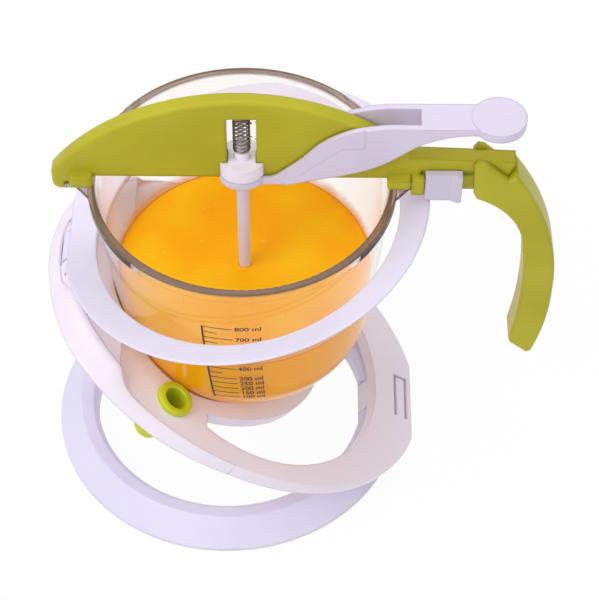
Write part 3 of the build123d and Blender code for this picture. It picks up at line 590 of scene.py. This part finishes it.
@dataclass(frozen=True)
class PouredBatter(Finish):
    """Smooth orange batter with slow streaks and a wet skin."""

    light: Tint
    deep: Tint
    gloss: float = 0.08
    roughness: float = 0.24
    warp: Cloud = Cloud(0.060, 2.0, 0.5)
    warp_span: Pair = (0.38, 0.66)
    streak: Cloud = Cloud(0.016, 4.0, 0.55)
    streak_span: Pair = (0.48, 0.85)
    streak_cover: float = 0.55
    streak_share: float = 0.14
    relief: Relief = Relief(0.25, 0.0006)

    def shader(self, graph: ShaderGraph) -> bpy.types.ShaderNode:
        """Adds the batter's nodes.

        Args:
            graph: The material's tree.

        Returns:
            The node of the finished shader.
        """
        place = graph.place()
        warp = graph.noise(place, self.warp)
        streak = graph.noise(place, self.streak)
        colour = graph.mottle(warp, self.warp_span, self.tint, self.light)
        cover = self.streak_cover * graph.ramp(streak, self.streak_span)
        sockets = {
            "Base Color": graph.blend(cover, colour, self.deep.linear()),
            "Roughness": self.roughness + self.streak_share * streak,
            "Normal": graph.bump(streak, self.relief),
            "Specular IOR Level": self.gloss,
        }
        return graph.principled(sockets)


@dataclass(frozen=True)
class BatterFilm(Finish):
    """A thin coat of batter on the wall, thinning out upwards from the level."""

    thin: Tint
    level: float
    reach: float
    cover: float
    foot: float = 0.001
    roughness: float = 0.3
    gloss: float = 0.15
    run: Cloud = Cloud(0.012, 3.0, 0.55)
    run_height: float = 0.006
    run_share: float = 0.2

    def shader(self, graph: ShaderGraph) -> bpy.types.ShaderNode:
        """Adds the film's nodes.

        Args:
            graph: The material's tree.

        Returns:
            The node of the finished shader.
        """
        place = graph.place()
        run = graph.noise(place, self.run)
        height = graph.height(place) + run.swing(self.run_height)
        fade = 1 - graph.ramp(height, (self.level - self.foot, self.level + self.reach))
        sockets = {
            "Base Color": graph.blend(fade, self.thin.linear(), self.tint.linear()),
            "Roughness": self.roughness + self.run_share * run,
            "Alpha": self.cover * fade,
            "Specular IOR Level": self.gloss,
        }
        return graph.principled(sockets)


@dataclass(frozen=True)
class PrintInk(Finish):
    """Screen-printed ink, a little uneven where it is thin."""

    thin: Tint
    roughness: float = 0.45
    patch: Cloud = Cloud(0.0015, 3.0, 0.6)
    patch_span: Pair = (0.45, 0.8)
    patch_share: float = 0.2

    def shader(self, graph: ShaderGraph) -> bpy.types.ShaderNode:
        """Adds the ink's nodes.

        Args:
            graph: The material's tree.

        Returns:
            The node of the finished shader.
        """
        patch = graph.noise(graph.place(), self.patch)
        sockets = {
            "Base Color": graph.mottle(patch, self.patch_span, self.tint, self.thin),
            "Roughness": self.roughness + patch.swing(self.patch_share),
        }
        return graph.principled(sockets)


FINE_GRAIN = Cloud(0.0006, 2.0, 0.6)
SATIN_GRAIN = Cloud(0.0007, 2.0, 0.6)
COARSE_GRAIN = Cloud(0.0008, 2.0, 0.6)
FINE_RELIEF = Relief(0.35, 0.00002)
SATIN_RELIEF = Relief(0.35, 0.00003)

RING_WHITE = MouldedPlastic(
    "ring_white", Tint(236, 231, 253), Tint(230, 225, 249), SATIN_GRAIN, SATIN_RELIEF,
    roughness=0.36, edge=0.0012,
)
TRAY_WHITE = MouldedPlastic(
    "tray_white", Tint(250, 240, 251), Tint(245, 234, 246), SATIN_GRAIN, SATIN_RELIEF,
    roughness=0.38, edge=0.0014,
)
LEVER_WHITE = MouldedPlastic(
    "lever_white", Tint(226, 216, 236), Tint(220, 210, 231), FINE_GRAIN, FINE_RELIEF,
    roughness=0.32, edge=0.0014,
)
# A lighter copy of the lever's white for the plunger head: painted light on its front faces.
PLUNGER_WHITE_PAINTED_LIGHT = MouldedPlastic(
    "plunger_white_painted_light", Tint(252, 245, 255), Tint(246, 238, 252), FINE_GRAIN, FINE_RELIEF,
    roughness=0.30, edge=0.0012,
)
# A darker copy of the lever's white for the lock slider: painted shade from the beam over it.
SLIDER_WHITE_PAINTED_SHADE = MouldedPlastic(
    "slider_white_painted_shade", Tint(214, 207, 226), Tint(207, 199, 219), FINE_GRAIN, FINE_RELIEF,
    roughness=0.34, edge=0.0010,
)
GREEN_PLASTIC = MouldedPlastic(
    "green_plastic", Tint(190, 183, 38), Tint(180, 172, 32), COARSE_GRAIN, SATIN_RELIEF,
    roughness=0.34, edge=0.0024, shine=0.26, glow=0.03,
)
# The lip tints are a painted reflection in the thick rim lip, not a tint of the plastic.
CLEAR_BOWL = ClearPlastic(
    "clear_bowl", Tint(254, 252, 249), edge=Tint(240, 228, 214),
    lip_painted_reflection=Tint(142, 108, 80), lip_painted_reflection_dark=Tint(122, 94, 72), lip_height=0.1812, index=1.31,
)
GREEN_SILICONE = Silicone("green_silicone", Tint(204, 214, 36), Tint(190, 202, 30))
SEAL_SILICONE = Silicone("seal_silicone", Tint(226, 226, 224), Tint(214, 214, 212))
SPRING_STEEL = Steel("spring_steel", Tint(138, 130, 124), Tint(96, 88, 82), roughness=0.30)
PIN_STEEL = Steel("pin_steel", Tint(186, 186, 188), Tint(150, 150, 152), roughness=0.32)
BATTER = PouredBatter(
    "poured_batter", Tint(255, 170, 0), light=Tint(255, 192, 10), deep=Tint(253, 154, 0)
)
BUBBLE_SKIN = PouredBatter(
    "bubble_skin", Tint(255, 186, 40), light=Tint(255, 202, 84), deep=Tint(252, 168, 20), gloss=0.6
)
BATTER_FILM = BatterFilm(
    "batter_film", Tint(255, 176, 60), Tint(250, 196, 120), level=0.1178, reach=0.010, cover=0.66
)
SCALE_INK = PrintInk("scale_ink", Tint(48, 34, 20), Tint(80, 58, 34))


def dress(finish: Finish, *nodes: str) -> None:
    """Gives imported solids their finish.

    Args:
        finish: The finish.
        nodes: The solids' names.
    """
    for node in nodes:
        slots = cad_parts[node].data.materials
        slots.clear()
        slots.append(finish.material())
        log.info("dressed %s in %s", node, finish.name)


def new_piece(name: str, mesh: bpy.types.Mesh, body: Body, finish: Finish) -> bpy.types.Object:
    """Adds a piece that rides on a body.

    Args:
        name: The piece's name.
        mesh: Its mesh, in the frame of the solids.
        body: The body that carries it.
        finish: Its finish.

    Returns:
        The new object.
    """
    piece = bpy.data.objects.new(name, mesh)
    bpy.context.scene.collection.objects.link(piece)
    mesh.materials.clear()
    mesh.materials.append(finish.material())
    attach(piece, body.value)
    log.info("added %s on %s", name, body.value)
    return piece


def weave(
    mould: bmesh.types.BMesh, rows: Sequence[Sequence[bmesh.types.BMVert]], closed: bool = True
) -> None:
    """Joins neighbouring rows of points with four-sided faces.

    Args:
        mould: The mesh that the faces are added to.
        rows: The rows, all of one length.
        closed: Whether each row runs on from its last point to its first.
    """
    for low, high in zip(rows, rows[1:]):
        for here in range(len(low) if closed else len(low) - 1):
            after = (here + 1) % len(low)
            mould.faces.new((low[here], low[after], high[after], high[here]))


def cast(mould: bmesh.types.BMesh, name: str, smooth: bool = False) -> bpy.types.Mesh:
    """Makes a mesh from a mould and frees the mould.

    Args:
        mould: The faces.
        name: The mesh's name.
        smooth: Whether all its faces are shaded smooth.

    Returns:
        The mesh.
    """
    mesh = bpy.data.meshes.new(name)
    mould.to_mesh(mesh)
    mould.free()
    if smooth:
        for face in mesh.polygons:
            face.use_smooth = True
    return mesh


def along_curve(stops: Sequence[Pair], place: float) -> float:
    """Reads a curve that is given by its stops, straight between them.

    Args:
        stops: Places and values, in order.
        place: Where to read it.

    Returns:
        The value there.
    """
    for (start, low), (end, high) in zip(stops, stops[1:]):
        if place <= end:
            return low + (high - low) * max(0.0, place - start) / (end - start)
    return stops[-1][1]


@dataclass(frozen=True)
class TrayEdge:
    """The oval outer edge of the tilted tray frame."""

    origin: Point = (-0.07238, 0.0, 0.12310)
    tilt: float = math.radians(34.68)
    middle: float = 0.0995
    half_length: float = 0.1096
    half_width: float = 0.0862

    def point(self, turn: float, out: float, height: float) -> Vector:
        """Finds a point by the edge.

        Args:
            turn: The place along the edge, from the ring's hinge, in degrees.
            out: The distance outward from the edge.
            height: The height over the tray's top face.

        Returns:
            The point.
        """
        angle = math.radians(turn)
        along = -math.cos(angle)
        across = math.sin(angle)
        away = Vector((along / self.half_length, across / self.half_width)).normalized()
        u = self.middle + self.half_length * along + away.x * out
        v = self.half_width * across + away.y * out
        down = Vector((math.cos(self.tilt), 0.0, -math.sin(self.tilt)))
        up = Vector((math.sin(self.tilt), 0.0, math.cos(self.tilt)))
        return Vector(self.origin) + down * u + Vector((0.0, v, 0.0)) + up * height


# Heights over the tray's top face, the share of depth where the flank is thin, and its last turn.
FLANK_FOOT = -0.0070
FLANK_CREST = 0.00695
FLANK_RIM = 0.00008
FLANK_THIN = 0.47
FLANK_END = 88.0


@dataclass(frozen=True)
class TrayFlank:
    """The smooth flank that rounds the hinge pad into the tray's side wall.

    Its section has a share of the flare, a distance outward and a height for each point, from
    foot to crest. Flare, top and reach each give a value at turns in degrees from the hinge:
    how far the foot stands out, how high the crest is, and how much of its depth it keeps.
    """

    edge: TrayEdge = TrayEdge()
    section: tuple[Point, ...] = (
        (1.00, 0.00012, FLANK_FOOT),
        (0.85, 0.00015, -0.0040),
        (0.62, 0.00015, -0.0010),
        (0.40, 0.00010, 0.0018),
        (0.16, -0.00010, 0.0040),
        (0.00, -0.00070, 0.0056),
        (0.00, -0.00160, 0.00655),
        (0.00, -0.00230, 0.00688),
        (0.00, -0.00340, FLANK_CREST),
    )
    flare: tuple[Pair, ...] = (
        (0.0, 0.0005), (12.0, 0.0008), (22.0, 0.0024),
        (34.0, 0.0042), (66.0, 0.0030), (FLANK_END, 0.0),
    )
    top: tuple[Pair, ...] = (
        (0.0, FLANK_RIM), (13.5, FLANK_RIM), (19.0, FLANK_CREST),
        (46.6, FLANK_CREST), (47.6, 0.0062), (49.0, 0.0041),
        (50.6, 0.0024), (52.6, 0.0010), (55.0, 0.0003),
        (58.0, FLANK_RIM), (FLANK_END, FLANK_RIM),
    )
    reach: tuple[Pair, ...] = (
        (0.0, FLANK_THIN), (13.5, FLANK_THIN), (19.0, 1.0), (46.6, 1.0),
        (48.0, 0.85), (50.6, 0.60), (54.0, FLANK_THIN), (FLANK_END, FLANK_THIN),
    )
    foot_depth: float = 0.0003
    root_depth: float = 0.0001
    root_height: float = -0.0004
    steps: int = 176
    sharp: float = math.radians(50.0)

    def outline(self, turn: float) -> list[Pair]:
        """Gives the closed section at a place along the edge.

        Args:
            turn: The place, in degrees from the hinge.

        Returns:
            Distances outward and heights, from the foot over the crest to the hidden root.
        """
        flare = along_curve(self.flare, turn)
        reach = along_curve(self.reach, turn)
        squeeze = (along_curve(self.top, turn) - FLANK_FOOT) / (FLANK_CREST - FLANK_FOOT)
        points = [(-self.foot_depth, FLANK_FOOT)]
        for share, out, height in self.section:
            inward = out * reach if out < 0 else out
            rise = (height - FLANK_FOOT) * squeeze
            points.append((share * flare + inward, FLANK_FOOT + rise))
        points.append((points[-1][0] - self.root_depth, self.root_height))
        return points

    def mesh(self) -> bpy.types.Mesh:
        """Builds the flank on both sides of the hinge.

        Returns:
            The closed mesh.
        """
        mould = bmesh.new()
        rows = []
        for step in range(self.steps + 1):
            turn = FLANK_END * (2 * step / self.steps - 1)
            spots = [self.edge.point(turn, out, high) for out, high in self.outline(abs(turn))]
            rows.append([mould.verts.new(spot) for spot in spots])
        weave(mould, rows)
        mould.faces.new(rows[0])
        mould.faces.new(rows[-1])
        bmesh.ops.recalc_face_normals(mould, faces=mould.faces)
        mesh = cast(mould, "tray_flank", smooth=True)
        mesh.set_sharp_from_angle(angle=self.sharp)
        return mesh


@dataclass
class Stand:
    """The folding stand: base ring, tray frame, top ring, their pins and the spare nozzle."""

    rings: tuple[str, ...] = ("base_ring", "top_ring")
    tray: str = "tray_frame"
    pins: tuple[str, ...] = ("base_hinge_pin", "ring_hinge_pin")
    nozzle: str = "spare_nozzle"
    flank: TrayFlank = TrayFlank()

    def dress(self) -> None:
        """Gives the stand's solids their finishes and the tray its rounded flank."""
        dress(RING_WHITE, *self.rings)
        dress(TRAY_WHITE, self.tray)
        dress(PIN_STEEL, *self.pins)
        dress(GREEN_SILICONE, self.nozzle)
        piece = new_piece("tray_flank", self.flank.mesh(), Body.TRAY, TRAY_WHITE)


@dataclass
class Bridge:
    """The bridge over the bowl with its handle and pins."""

    greens: tuple[str, ...] = ("bridge", "handle")
    pins: tuple[str, ...] = ("handle_pin", "lever_pin")

    def dress(self) -> None:
        """Gives the bridge's solids their finishes."""
        dress(GREEN_PLASTIC, *self.greens)
        dress(PIN_STEEL, *self.pins)


@dataclass
class Mechanism:
    """The lever, plunger, return spring and lock slider."""

    whites: tuple[str, ...] = ("lever", "plunger_rod", "plunger_tip")
    head: str = "plunger_head"
    slider: str = "lock_slider"
    spring: str = "return_spring"
    seal: str = "tip_seal"
    lift: str = "plunger_lift"
    travel: float = 0.0112

    def dress(self) -> None:
        """Gives the moving solids their finishes and adds the spring."""
        dress(LEVER_WHITE, *self.whites)
        # The head wears the lighter copy of the white, which is painted light.
        dress(PLUNGER_WHITE_PAINTED_LIGHT, self.head)
        # The slider wears the darker copy of the white, which is painted shade.
        dress(SLIDER_WHITE_PAINTED_SHADE, self.slider)
        dress(SEAL_SILICONE, self.seal)
        self.add_spring()

    def add_spring(self) -> None:
        """Puts a copy of the spring's coil on the plunger, in place of the imported spring."""
        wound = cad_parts[self.spring].data.copy()
        coil = new_piece("coil_spring", wound, Body.PLUNGER, SPRING_STEEL)
        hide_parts(self.spring)
        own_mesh(coil)


@dataclass
class BowlWall:
    """The bowl's surface, which the batter lies against and the scales are printed on."""

    node: str = "bowl"
    axis_x: float = 0.0097
    outer_reach: float = 0.2
    surface: BVHTree = field(init=False)

    def __post_init__(self) -> None:
        """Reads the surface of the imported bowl."""
        graph = bpy.context.evaluated_depsgraph_get()
        self.surface = BVHTree.FromObject(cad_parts[self.node], graph)

    def on_axis(self, height: float) -> Vector:
        """Gives the point of the bowl's axis at a height."""
        return Vector((self.axis_x, 0.0, height))

    def meet(self, start: Vector, way: Vector, lift: float = 0.0) -> Vector | None:
        """Finds where a ray meets the wall.

        Args:
            start: Where the ray starts.
            way: Its direction.
            lift: How far the point stands off the wall, on the ray's side.

        Returns:
            The point, or None where the ray meets nothing.
        """
        spot, normal, _, _ = self.surface.ray_cast(start, way)
        if spot is None:
            return None
        facing = normal if normal.dot(way) < 0 else -normal
        return spot + facing * lift

    def inner_radius(self, height: float) -> float:
        """Measures the inside of the bowl, towards the front.

        Args:
            height: The height over the floor.

        Returns:
            The radius there.
        """
        spot = self.meet(self.on_axis(height), Vector((0.0, -1.0, 0.0)))
        if spot is None:
            raise ValueError(f"no wall inside at height {height}")
        return -spot.y

    def outside(self, azimuth: float, height: float, lift: float) -> Vector:
        """Finds a point on the outside of the bowl.

        Args:
            azimuth: Its direction from the axis.
            height: Its height over the floor.
            lift: How far it stands off the wall.

        Returns:
            The point.
        """
        out = Vector((math.cos(azimuth), math.sin(azimuth), 0.0))
        spot = self.meet(self.on_axis(height) + out * self.outer_reach, -out, lift)
        if spot is None:
            raise ValueError(f"no wall outside at height {height}")
        return spot


@dataclass
class Batter:
    """The batter in the bowl, the bubbles in its skin and its film on the wall.

    A bubble is given by its place from the bowl's axis and its radius.
    """

    wall: BowlWall
    level: float = 0.118
    overlap: float = 0.0002
    wall_lean: float = 0.107
    meniscus: float = 0.0011
    tip_room: float = 0.0084
    rod_room: float = 0.00315
    hub_top: float = 0.0905
    profile_steps: int = 90
    edge_steps: tuple[float, ...] = (0.0, 0.0005, 0.0012, 0.0022, 0.0036, 0.0060)
    edge_decay: float = 0.0013
    skin_radii: tuple[float, ...] = (0.052, 0.040, 0.028, 0.018, 0.010, 0.0066)
    rod_steps: tuple[float, ...] = (0.0018, 0.0009, 0.0003, 0.0)
    rod_decay: float = 0.0009
    segments: int = 144
    bubbles: tuple[Point, ...] = (
        (-0.0209, 0.0358, 0.00075), (-0.0190, 0.0367, 0.00045), (-0.0217, 0.0148, 0.00050),
        (-0.0394, 0.0067, 0.00065), (-0.0380, 0.0056, 0.00040), (0.0085, 0.0151, 0.00085),
        (0.0102, 0.0144, 0.00055), (0.0094, 0.0166, 0.00040), (0.0267, 0.0250, 0.00045),
        (-0.0298, -0.0231, 0.00055), (0.0186, -0.0307, 0.00060),
    )
    bubble_sink: float = 0.15
    bubble_rise: float = 0.7
    bubble_detail: int = 3
    film: float = 0.016
    film_steps: int = 8
    film_gap: float = 0.00015
    film_depth: float = 0.00012

    def pour(self) -> None:
        """Adds the batter, its bubbles and its film."""
        self.add_body()
        self.add_bubbles()
        self.add_film()

    def wall_profile(self) -> list[Pair]:
        """Follows the inside of the bowl from the stopper tip to the batter's edge.

        Returns:
            Radius and height pairs, a little way into the wall so that no gap shows.
        """
        points = []
        for step in range(self.profile_steps):
            angle = math.radians(step + 1 - self.profile_steps)
            way = Vector((0.0, -math.cos(angle), math.sin(angle)))
            spot = self.wall.meet(self.wall.on_axis(self.level), way, -self.overlap)
            if spot is not None and -spot.y > self.tip_room and spot.z < self.level:
                points.append((-spot.y, spot.z))
        return points

    def add_body(self) -> None:
        """Turns the batter's section round the bowl's axis, with a raised skin at its edges."""
        side = self.wall_profile()
        radius, height = side[-1]
        edge = radius + (self.level + self.meniscus - height) * self.wall_lean
        skin: list[Pair] = []
        for back in self.edge_steps:
            rise = self.meniscus * math.exp(-back / self.edge_decay)
            skin.append((edge - back, self.level + rise))
        skin += [(radius, self.level) for radius in self.skin_radii]
        for gap in self.rod_steps:
            rise = self.meniscus * math.exp(-gap / self.rod_decay)
            skin.append((self.rod_room + gap, self.level + rise))
        hub = [(self.rod_room, self.hub_top), (self.tip_room, self.hub_top)]
        mesh = self.turn("poured_batter", side + skin + hub)
        piece = new_piece("poured_batter", mesh, Body.DISPENSER, BATTER)
        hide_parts("batter")

    def add_bubbles(self) -> None:
        """Sets a few small bubbles in the batter's skin."""
        mould = bmesh.new()
        flatten = Matrix.Diagonal((1.0, 1.0, self.bubble_rise, 1.0))
        for x, y, radius in self.bubbles:
            centre = Vector((self.wall.axis_x + x, y, self.level - radius * self.bubble_sink))
            bmesh.ops.create_icosphere(
                mould,
                subdivisions=self.bubble_detail,
                radius=radius,
                matrix=Matrix.Translation(centre) @ flatten,
            )
        mesh = cast(mould, "batter_bubbles", smooth=True)
        piece = new_piece("batter_bubbles", mesh, Body.DISPENSER, BUBBLE_SKIN)

    def add_film(self) -> None:
        """Leaves a thinning coat of batter on the wall above the level."""
        section: list[Pair] = []
        for step in range(self.film_steps + 1):
            height = self.level + self.film * step / self.film_steps
            section.append((self.wall.inner_radius(height) - self.film_gap, height))
        section += [(radius - self.film_depth, height) for radius, height in reversed(section)]
        mesh = self.turn("batter_film", section)
        piece = new_piece("batter_film", mesh, Body.DISPENSER, BATTER_FILM)

    def turn(self, name: str, section: Sequence[Pair]) -> bpy.types.Mesh:
        """Turns a closed section of radius and height pairs round the bowl's axis.

        Args:
            name: The mesh's name.
            section: The points, in order, of which the last joins the first.

        Returns:
            The smooth mesh.
        """
        mould = bmesh.new()
        rings = []
        for radius, height in section:
            ring = []
            for step in range(self.segments):
                angle = 2 * math.pi * step / self.segments
                x = self.wall.axis_x + radius * math.cos(angle)
                ring.append(mould.verts.new((x, radius * math.sin(angle), height)))
            rings.append(ring)
        weave(mould, rings + rings[:1])
        bmesh.ops.recalc_face_normals(mould, faces=mould.faces)
        return cast(mould, name, smooth=True)


@dataclass(frozen=True)
class PrintedScale:
    """A volume scale on the bowl: a line, long and short ticks, and numbers.

    Places on it are distances round the wall from its line, counted on one radius, and heights.
    """

    name: str
    unit: str
    azimuth: float
    top: float
    foot: float
    marks: tuple[tuple[int, float], ...]
    halves: tuple[float, ...]
    lean: float = 0.0024
    line: float = 0.0010
    tick: float = 0.00062
    long_tick: float = 0.0136
    short_tick: float = 0.0066
    words_start: float = 0.0147
    words_size: float = 0.0044
    words_bold: float = 0.00010
    words_detail: int = 3
    radius: float = 0.066
    proud: float = 0.00006
    cell_width: float = 0.0012
    cell_height: float = 0.0015

    def spot(self, wall: BowlWall, along: float, height: float) -> Vector:
        """Finds a point of the print, which leans to the right towards its foot.

        Args:
            wall: The bowl's surface.
            along: The distance round the wall, to the right as seen from outside.
            height: The height over the floor.

        Returns:
            The point.
        """
        shift = self.lean * ((self.top - height) / (self.top - self.foot)) ** 2
        return wall.outside(self.azimuth + (along + shift) / self.radius, height, self.proud)

    def print_on(self, wall: BowlWall) -> None:
        """Prints the scale on the wall.

        Args:
            wall: The bowl's surface.
        """
        mould = bmesh.new()
        half = self.line / 2
        thin = self.tick / 2
        self.add_bar(mould, wall, (-half, self.foot), (half, self.top))
        for amount, height in self.marks:
            self.add_bar(mould, wall, (half, height - thin), (self.long_tick, height + thin))
            words = self.lettering(wall, f"{amount} {self.unit}", height)
            mould.from_mesh(words)
            bpy.data.meshes.remove(words)
        for height in self.halves:
            self.add_bar(mould, wall, (half, height - thin), (self.short_tick, height + thin))
        new_piece(self.name, cast(mould, self.name), Body.DISPENSER, SCALE_INK)

    def add_bar(self, mould: bmesh.types.BMesh, wall: BowlWall, start: Pair, end: Pair) -> None:
        """Adds one printed bar between two corners on the wall.

        Args:
            mould: The mesh that it is added to.
            wall: The bowl's surface.
            start: Distance round the wall and height of one corner.
            end: The opposite corner.
        """
        width, rise = end[0] - start[0], end[1] - start[1]
        across = max(2, int(abs(width) / self.cell_width))
        up = max(1, int(abs(rise) / self.cell_height))
        rows = []
        for i in range(up + 1):
            height = start[1] + rise * i / up
            places = [start[0] + width * j / across for j in range(across + 1)]
            rows.append([mould.verts.new(self.spot(wall, along, height)) for along in places])
        weave(mould, rows, closed=False)

    def lettering(self, wall: BowlWall, words: str, height: float) -> bpy.types.Mesh:
        """Lays flat lettering on the wall.

        Args:
            wall: The bowl's surface.
            words: The generic number and unit.
            height: The height of its middle.

        Returns:
            The mesh on the wall.
        """
        curve = bpy.data.curves.new("lettering", "FONT")
        curve.body = words
        curve.size = self.words_size
        curve.resolution_u = self.words_detail
        curve.offset = self.words_bold
        curve.align_y = "CENTER"
        flat = bpy.data.objects.new("lettering", curve)
        bpy.context.scene.collection.objects.link(flat)
        bpy.context.view_layer.update()
        shaped = flat.evaluated_get(bpy.context.evaluated_depsgraph_get())
        mesh = bpy.data.meshes.new_from_object(shaped)
        bpy.data.objects.remove(flat)
        bpy.data.curves.remove(curve)
        for vertex in mesh.vertices:
            x, y, _ = vertex.co
            vertex.co = self.spot(wall, self.words_start + x, height + y)
        mesh.update()
        return mesh


MILLILITRES = PrintedScale(
    "front_scale",
    "ml",
    azimuth=math.radians(-105.0),
    top=0.1516,
    foot=0.0887,
    marks=(
        (800, 0.1513), (700, 0.1425), (600, 0.1340), (500, 0.1254), (400, 0.1169),
        (300, 0.1082), (250, 0.1039), (200, 0.0996), (150, 0.0954), (100, 0.0912),
    ),
    halves=(0.1470, 0.1386, 0.1297, 0.1212, 0.1127),
)
OUNCES = PrintedScale(
    "back_scale",
    "oz",
    azimuth=math.radians(74.9),
    top=0.1490,
    foot=0.0920,
    marks=((24, 0.1487), (20, 0.1378), (16, 0.1274), (12, 0.1170), (8, 0.1066), (4, 0.0950)),
    halves=(0.1433, 0.1326, 0.1222, 0.1118, 0.1008),
)


@dataclass
class Bowl:
    """The clear bowl with the batter in it and the printed volume scales."""

    node: str = "bowl"
    scales: tuple[PrintedScale, ...] = (MILLILITRES, OUNCES)

    def dress(self) -> None:
        """Gives the bowl its finish and adds what belongs to it."""
        dress(CLEAR_BOWL, self.node)
        wall = BowlWall(self.node)
        Batter(wall).pour()
        for scale in self.scales:
            scale.print_on(wall)


@dataclass(frozen=True)
class Lamp:
    """A square soft lamp: its place, the point that it faces, its side and its watts."""

    name: str
    place: Point
    aim: Point
    size: float
    power: float

    def hang(self) -> None:
        """Adds the lamp to the scene."""
        light = bpy.data.lights.new(self.name, "AREA")
        light.size = self.size
        light.energy = self.power
        holder = bpy.data.objects.new(self.name, light)
        holder.location = self.place
        way = Vector(self.aim) - Vector(self.place)
        holder.rotation_euler = way.to_track_quat("-Z", "Y").to_euler()
        bpy.context.scene.collection.objects.link(holder)


@dataclass
class Studio:
    """Pale floor, soft lamps, white surroundings and the camera."""

    lamps: tuple[Lamp, ...] = (
        Lamp("key_lamp", (-0.80, -0.55, 1.20), (0.0, 0.0, 0.12), size=0.9, power=9.0),
        Lamp("fill_lamp", (0.95, -0.45, 0.9), (0.0, 0.0, 0.12), size=0.8, power=2.0),
        Lamp("top_lamp", (0.1, 0.4, 1.4), (0.0, 0.0, 0.12), size=0.9, power=4.8),
        Lamp("front_lamp", (-0.2, -1.2, 0.5), (0.0, 0.0, 0.14), size=0.8, power=1.3),
    )
    background_rays: tuple[Ray, ...] = (Ray.CAMERA, Ray.GLOSSY, Ray.TRANSMISSION)
    floor_colour: Colour = (0.86, 0.86, 0.87, 1.0)
    floor_white: float = 0.95
    floor_size: float = 4.0
    floor_cells: int = 8
    floor_height: float = -0.0004
    daylight_colour: Colour = (0.97, 0.98, 1.0, 1.0)
    daylight: float = 0.46
    eye: Point = (0.0386, -0.6317, 0.8623)
    back: Point = (0.0022, -0.6334, 0.7738)
    roll: float = math.radians(0.3)
    lens: float = 120.1
    sensor: float = 36.0
    nearest: float = 0.01

    def build(self) -> None:
        """Sets up floor, lamps, world and camera."""
        self.add_floor()
        self.add_world()
        for lamp in self.lamps:
            lamp.hang()
        self.add_camera()
        bpy.context.scene.view_settings.view_transform = "Standard"

    def add_floor(self) -> None:
        """Lays a wide pale floor that keeps the object's shadow."""
        mould = bmesh.new()
        cells = self.floor_cells
        bmesh.ops.create_grid(mould, x_segments=cells, y_segments=cells, size=self.floor_size)
        mesh = cast(mould, "floor")
        floor = bpy.data.objects.new("floor", mesh)
        floor.location.z = self.floor_height
        bpy.context.scene.collection.objects.link(floor)
        graph = ShaderGraph("pale_floor")
        matte = graph.node("ShaderNodeBsdfDiffuse", {}, {"Color": self.floor_colour})
        white = graph.node("ShaderNodeEmission", {}, {"Color": WHITE, "Strength": 1.0})
        seen = self.floor_white * graph.ray_kind(*self.background_rays)
        mesh.materials.append(graph.finish(graph.mix(seen, matte, white)))
        log.info("laid the floor")

    def add_world(self) -> None:
        """Surrounds the scene with even daylight that looks white."""
        world = bpy.data.worlds.new("studio")
        bpy.context.scene.world = world
        world.use_nodes = True
        graph = NodeGraph(world.node_tree)
        day = {"Color": self.daylight_colour, "Strength": self.daylight}
        light = graph.node("ShaderNodeBackground", {}, day)
        white = graph.node("ShaderNodeBackground", {}, {"Color": WHITE, "Strength": 1.0})
        sky = graph.mix(graph.ray_kind(*self.background_rays), light, white)
        graph.node("ShaderNodeOutputWorld", {}, {"Surface": sky.outputs[0]})

    def add_camera(self) -> None:
        """Sets the camera where the photograph was taken from."""
        lens = bpy.data.cameras.new("camera")
        lens.lens = self.lens
        lens.sensor_width = self.sensor
        lens.clip_start = self.nearest
        camera = bpy.data.objects.new("camera", lens)
        back = Vector(self.back).normalized()
        right = Vector((0.0, 0.0, 1.0)).cross(back).normalized()
        up = back.cross(right)
        turned_right = right * math.cos(self.roll) + up * math.sin(self.roll)
        turned_up = up * math.cos(self.roll) - right * math.sin(self.roll)
        columns = Matrix((turned_right, turned_up, back)).transposed()
        camera.matrix_world = Matrix.Translation(Vector(self.eye)) @ columns.to_4x4()
        bpy.context.scene.collection.objects.link(camera)
        bpy.context.scene.camera = camera


def main() -> None:
    """Builds the object's looks in order."""
    logging.basicConfig(level=logging.INFO, format="%(message)s")
    for assembly in (Stand(), Bridge(), Mechanism(), Bowl()):
        assembly.dress()
        log.info("%s is dressed", type(assembly).__name__)
    Studio().build()


if __name__ == "__main__":
    main()
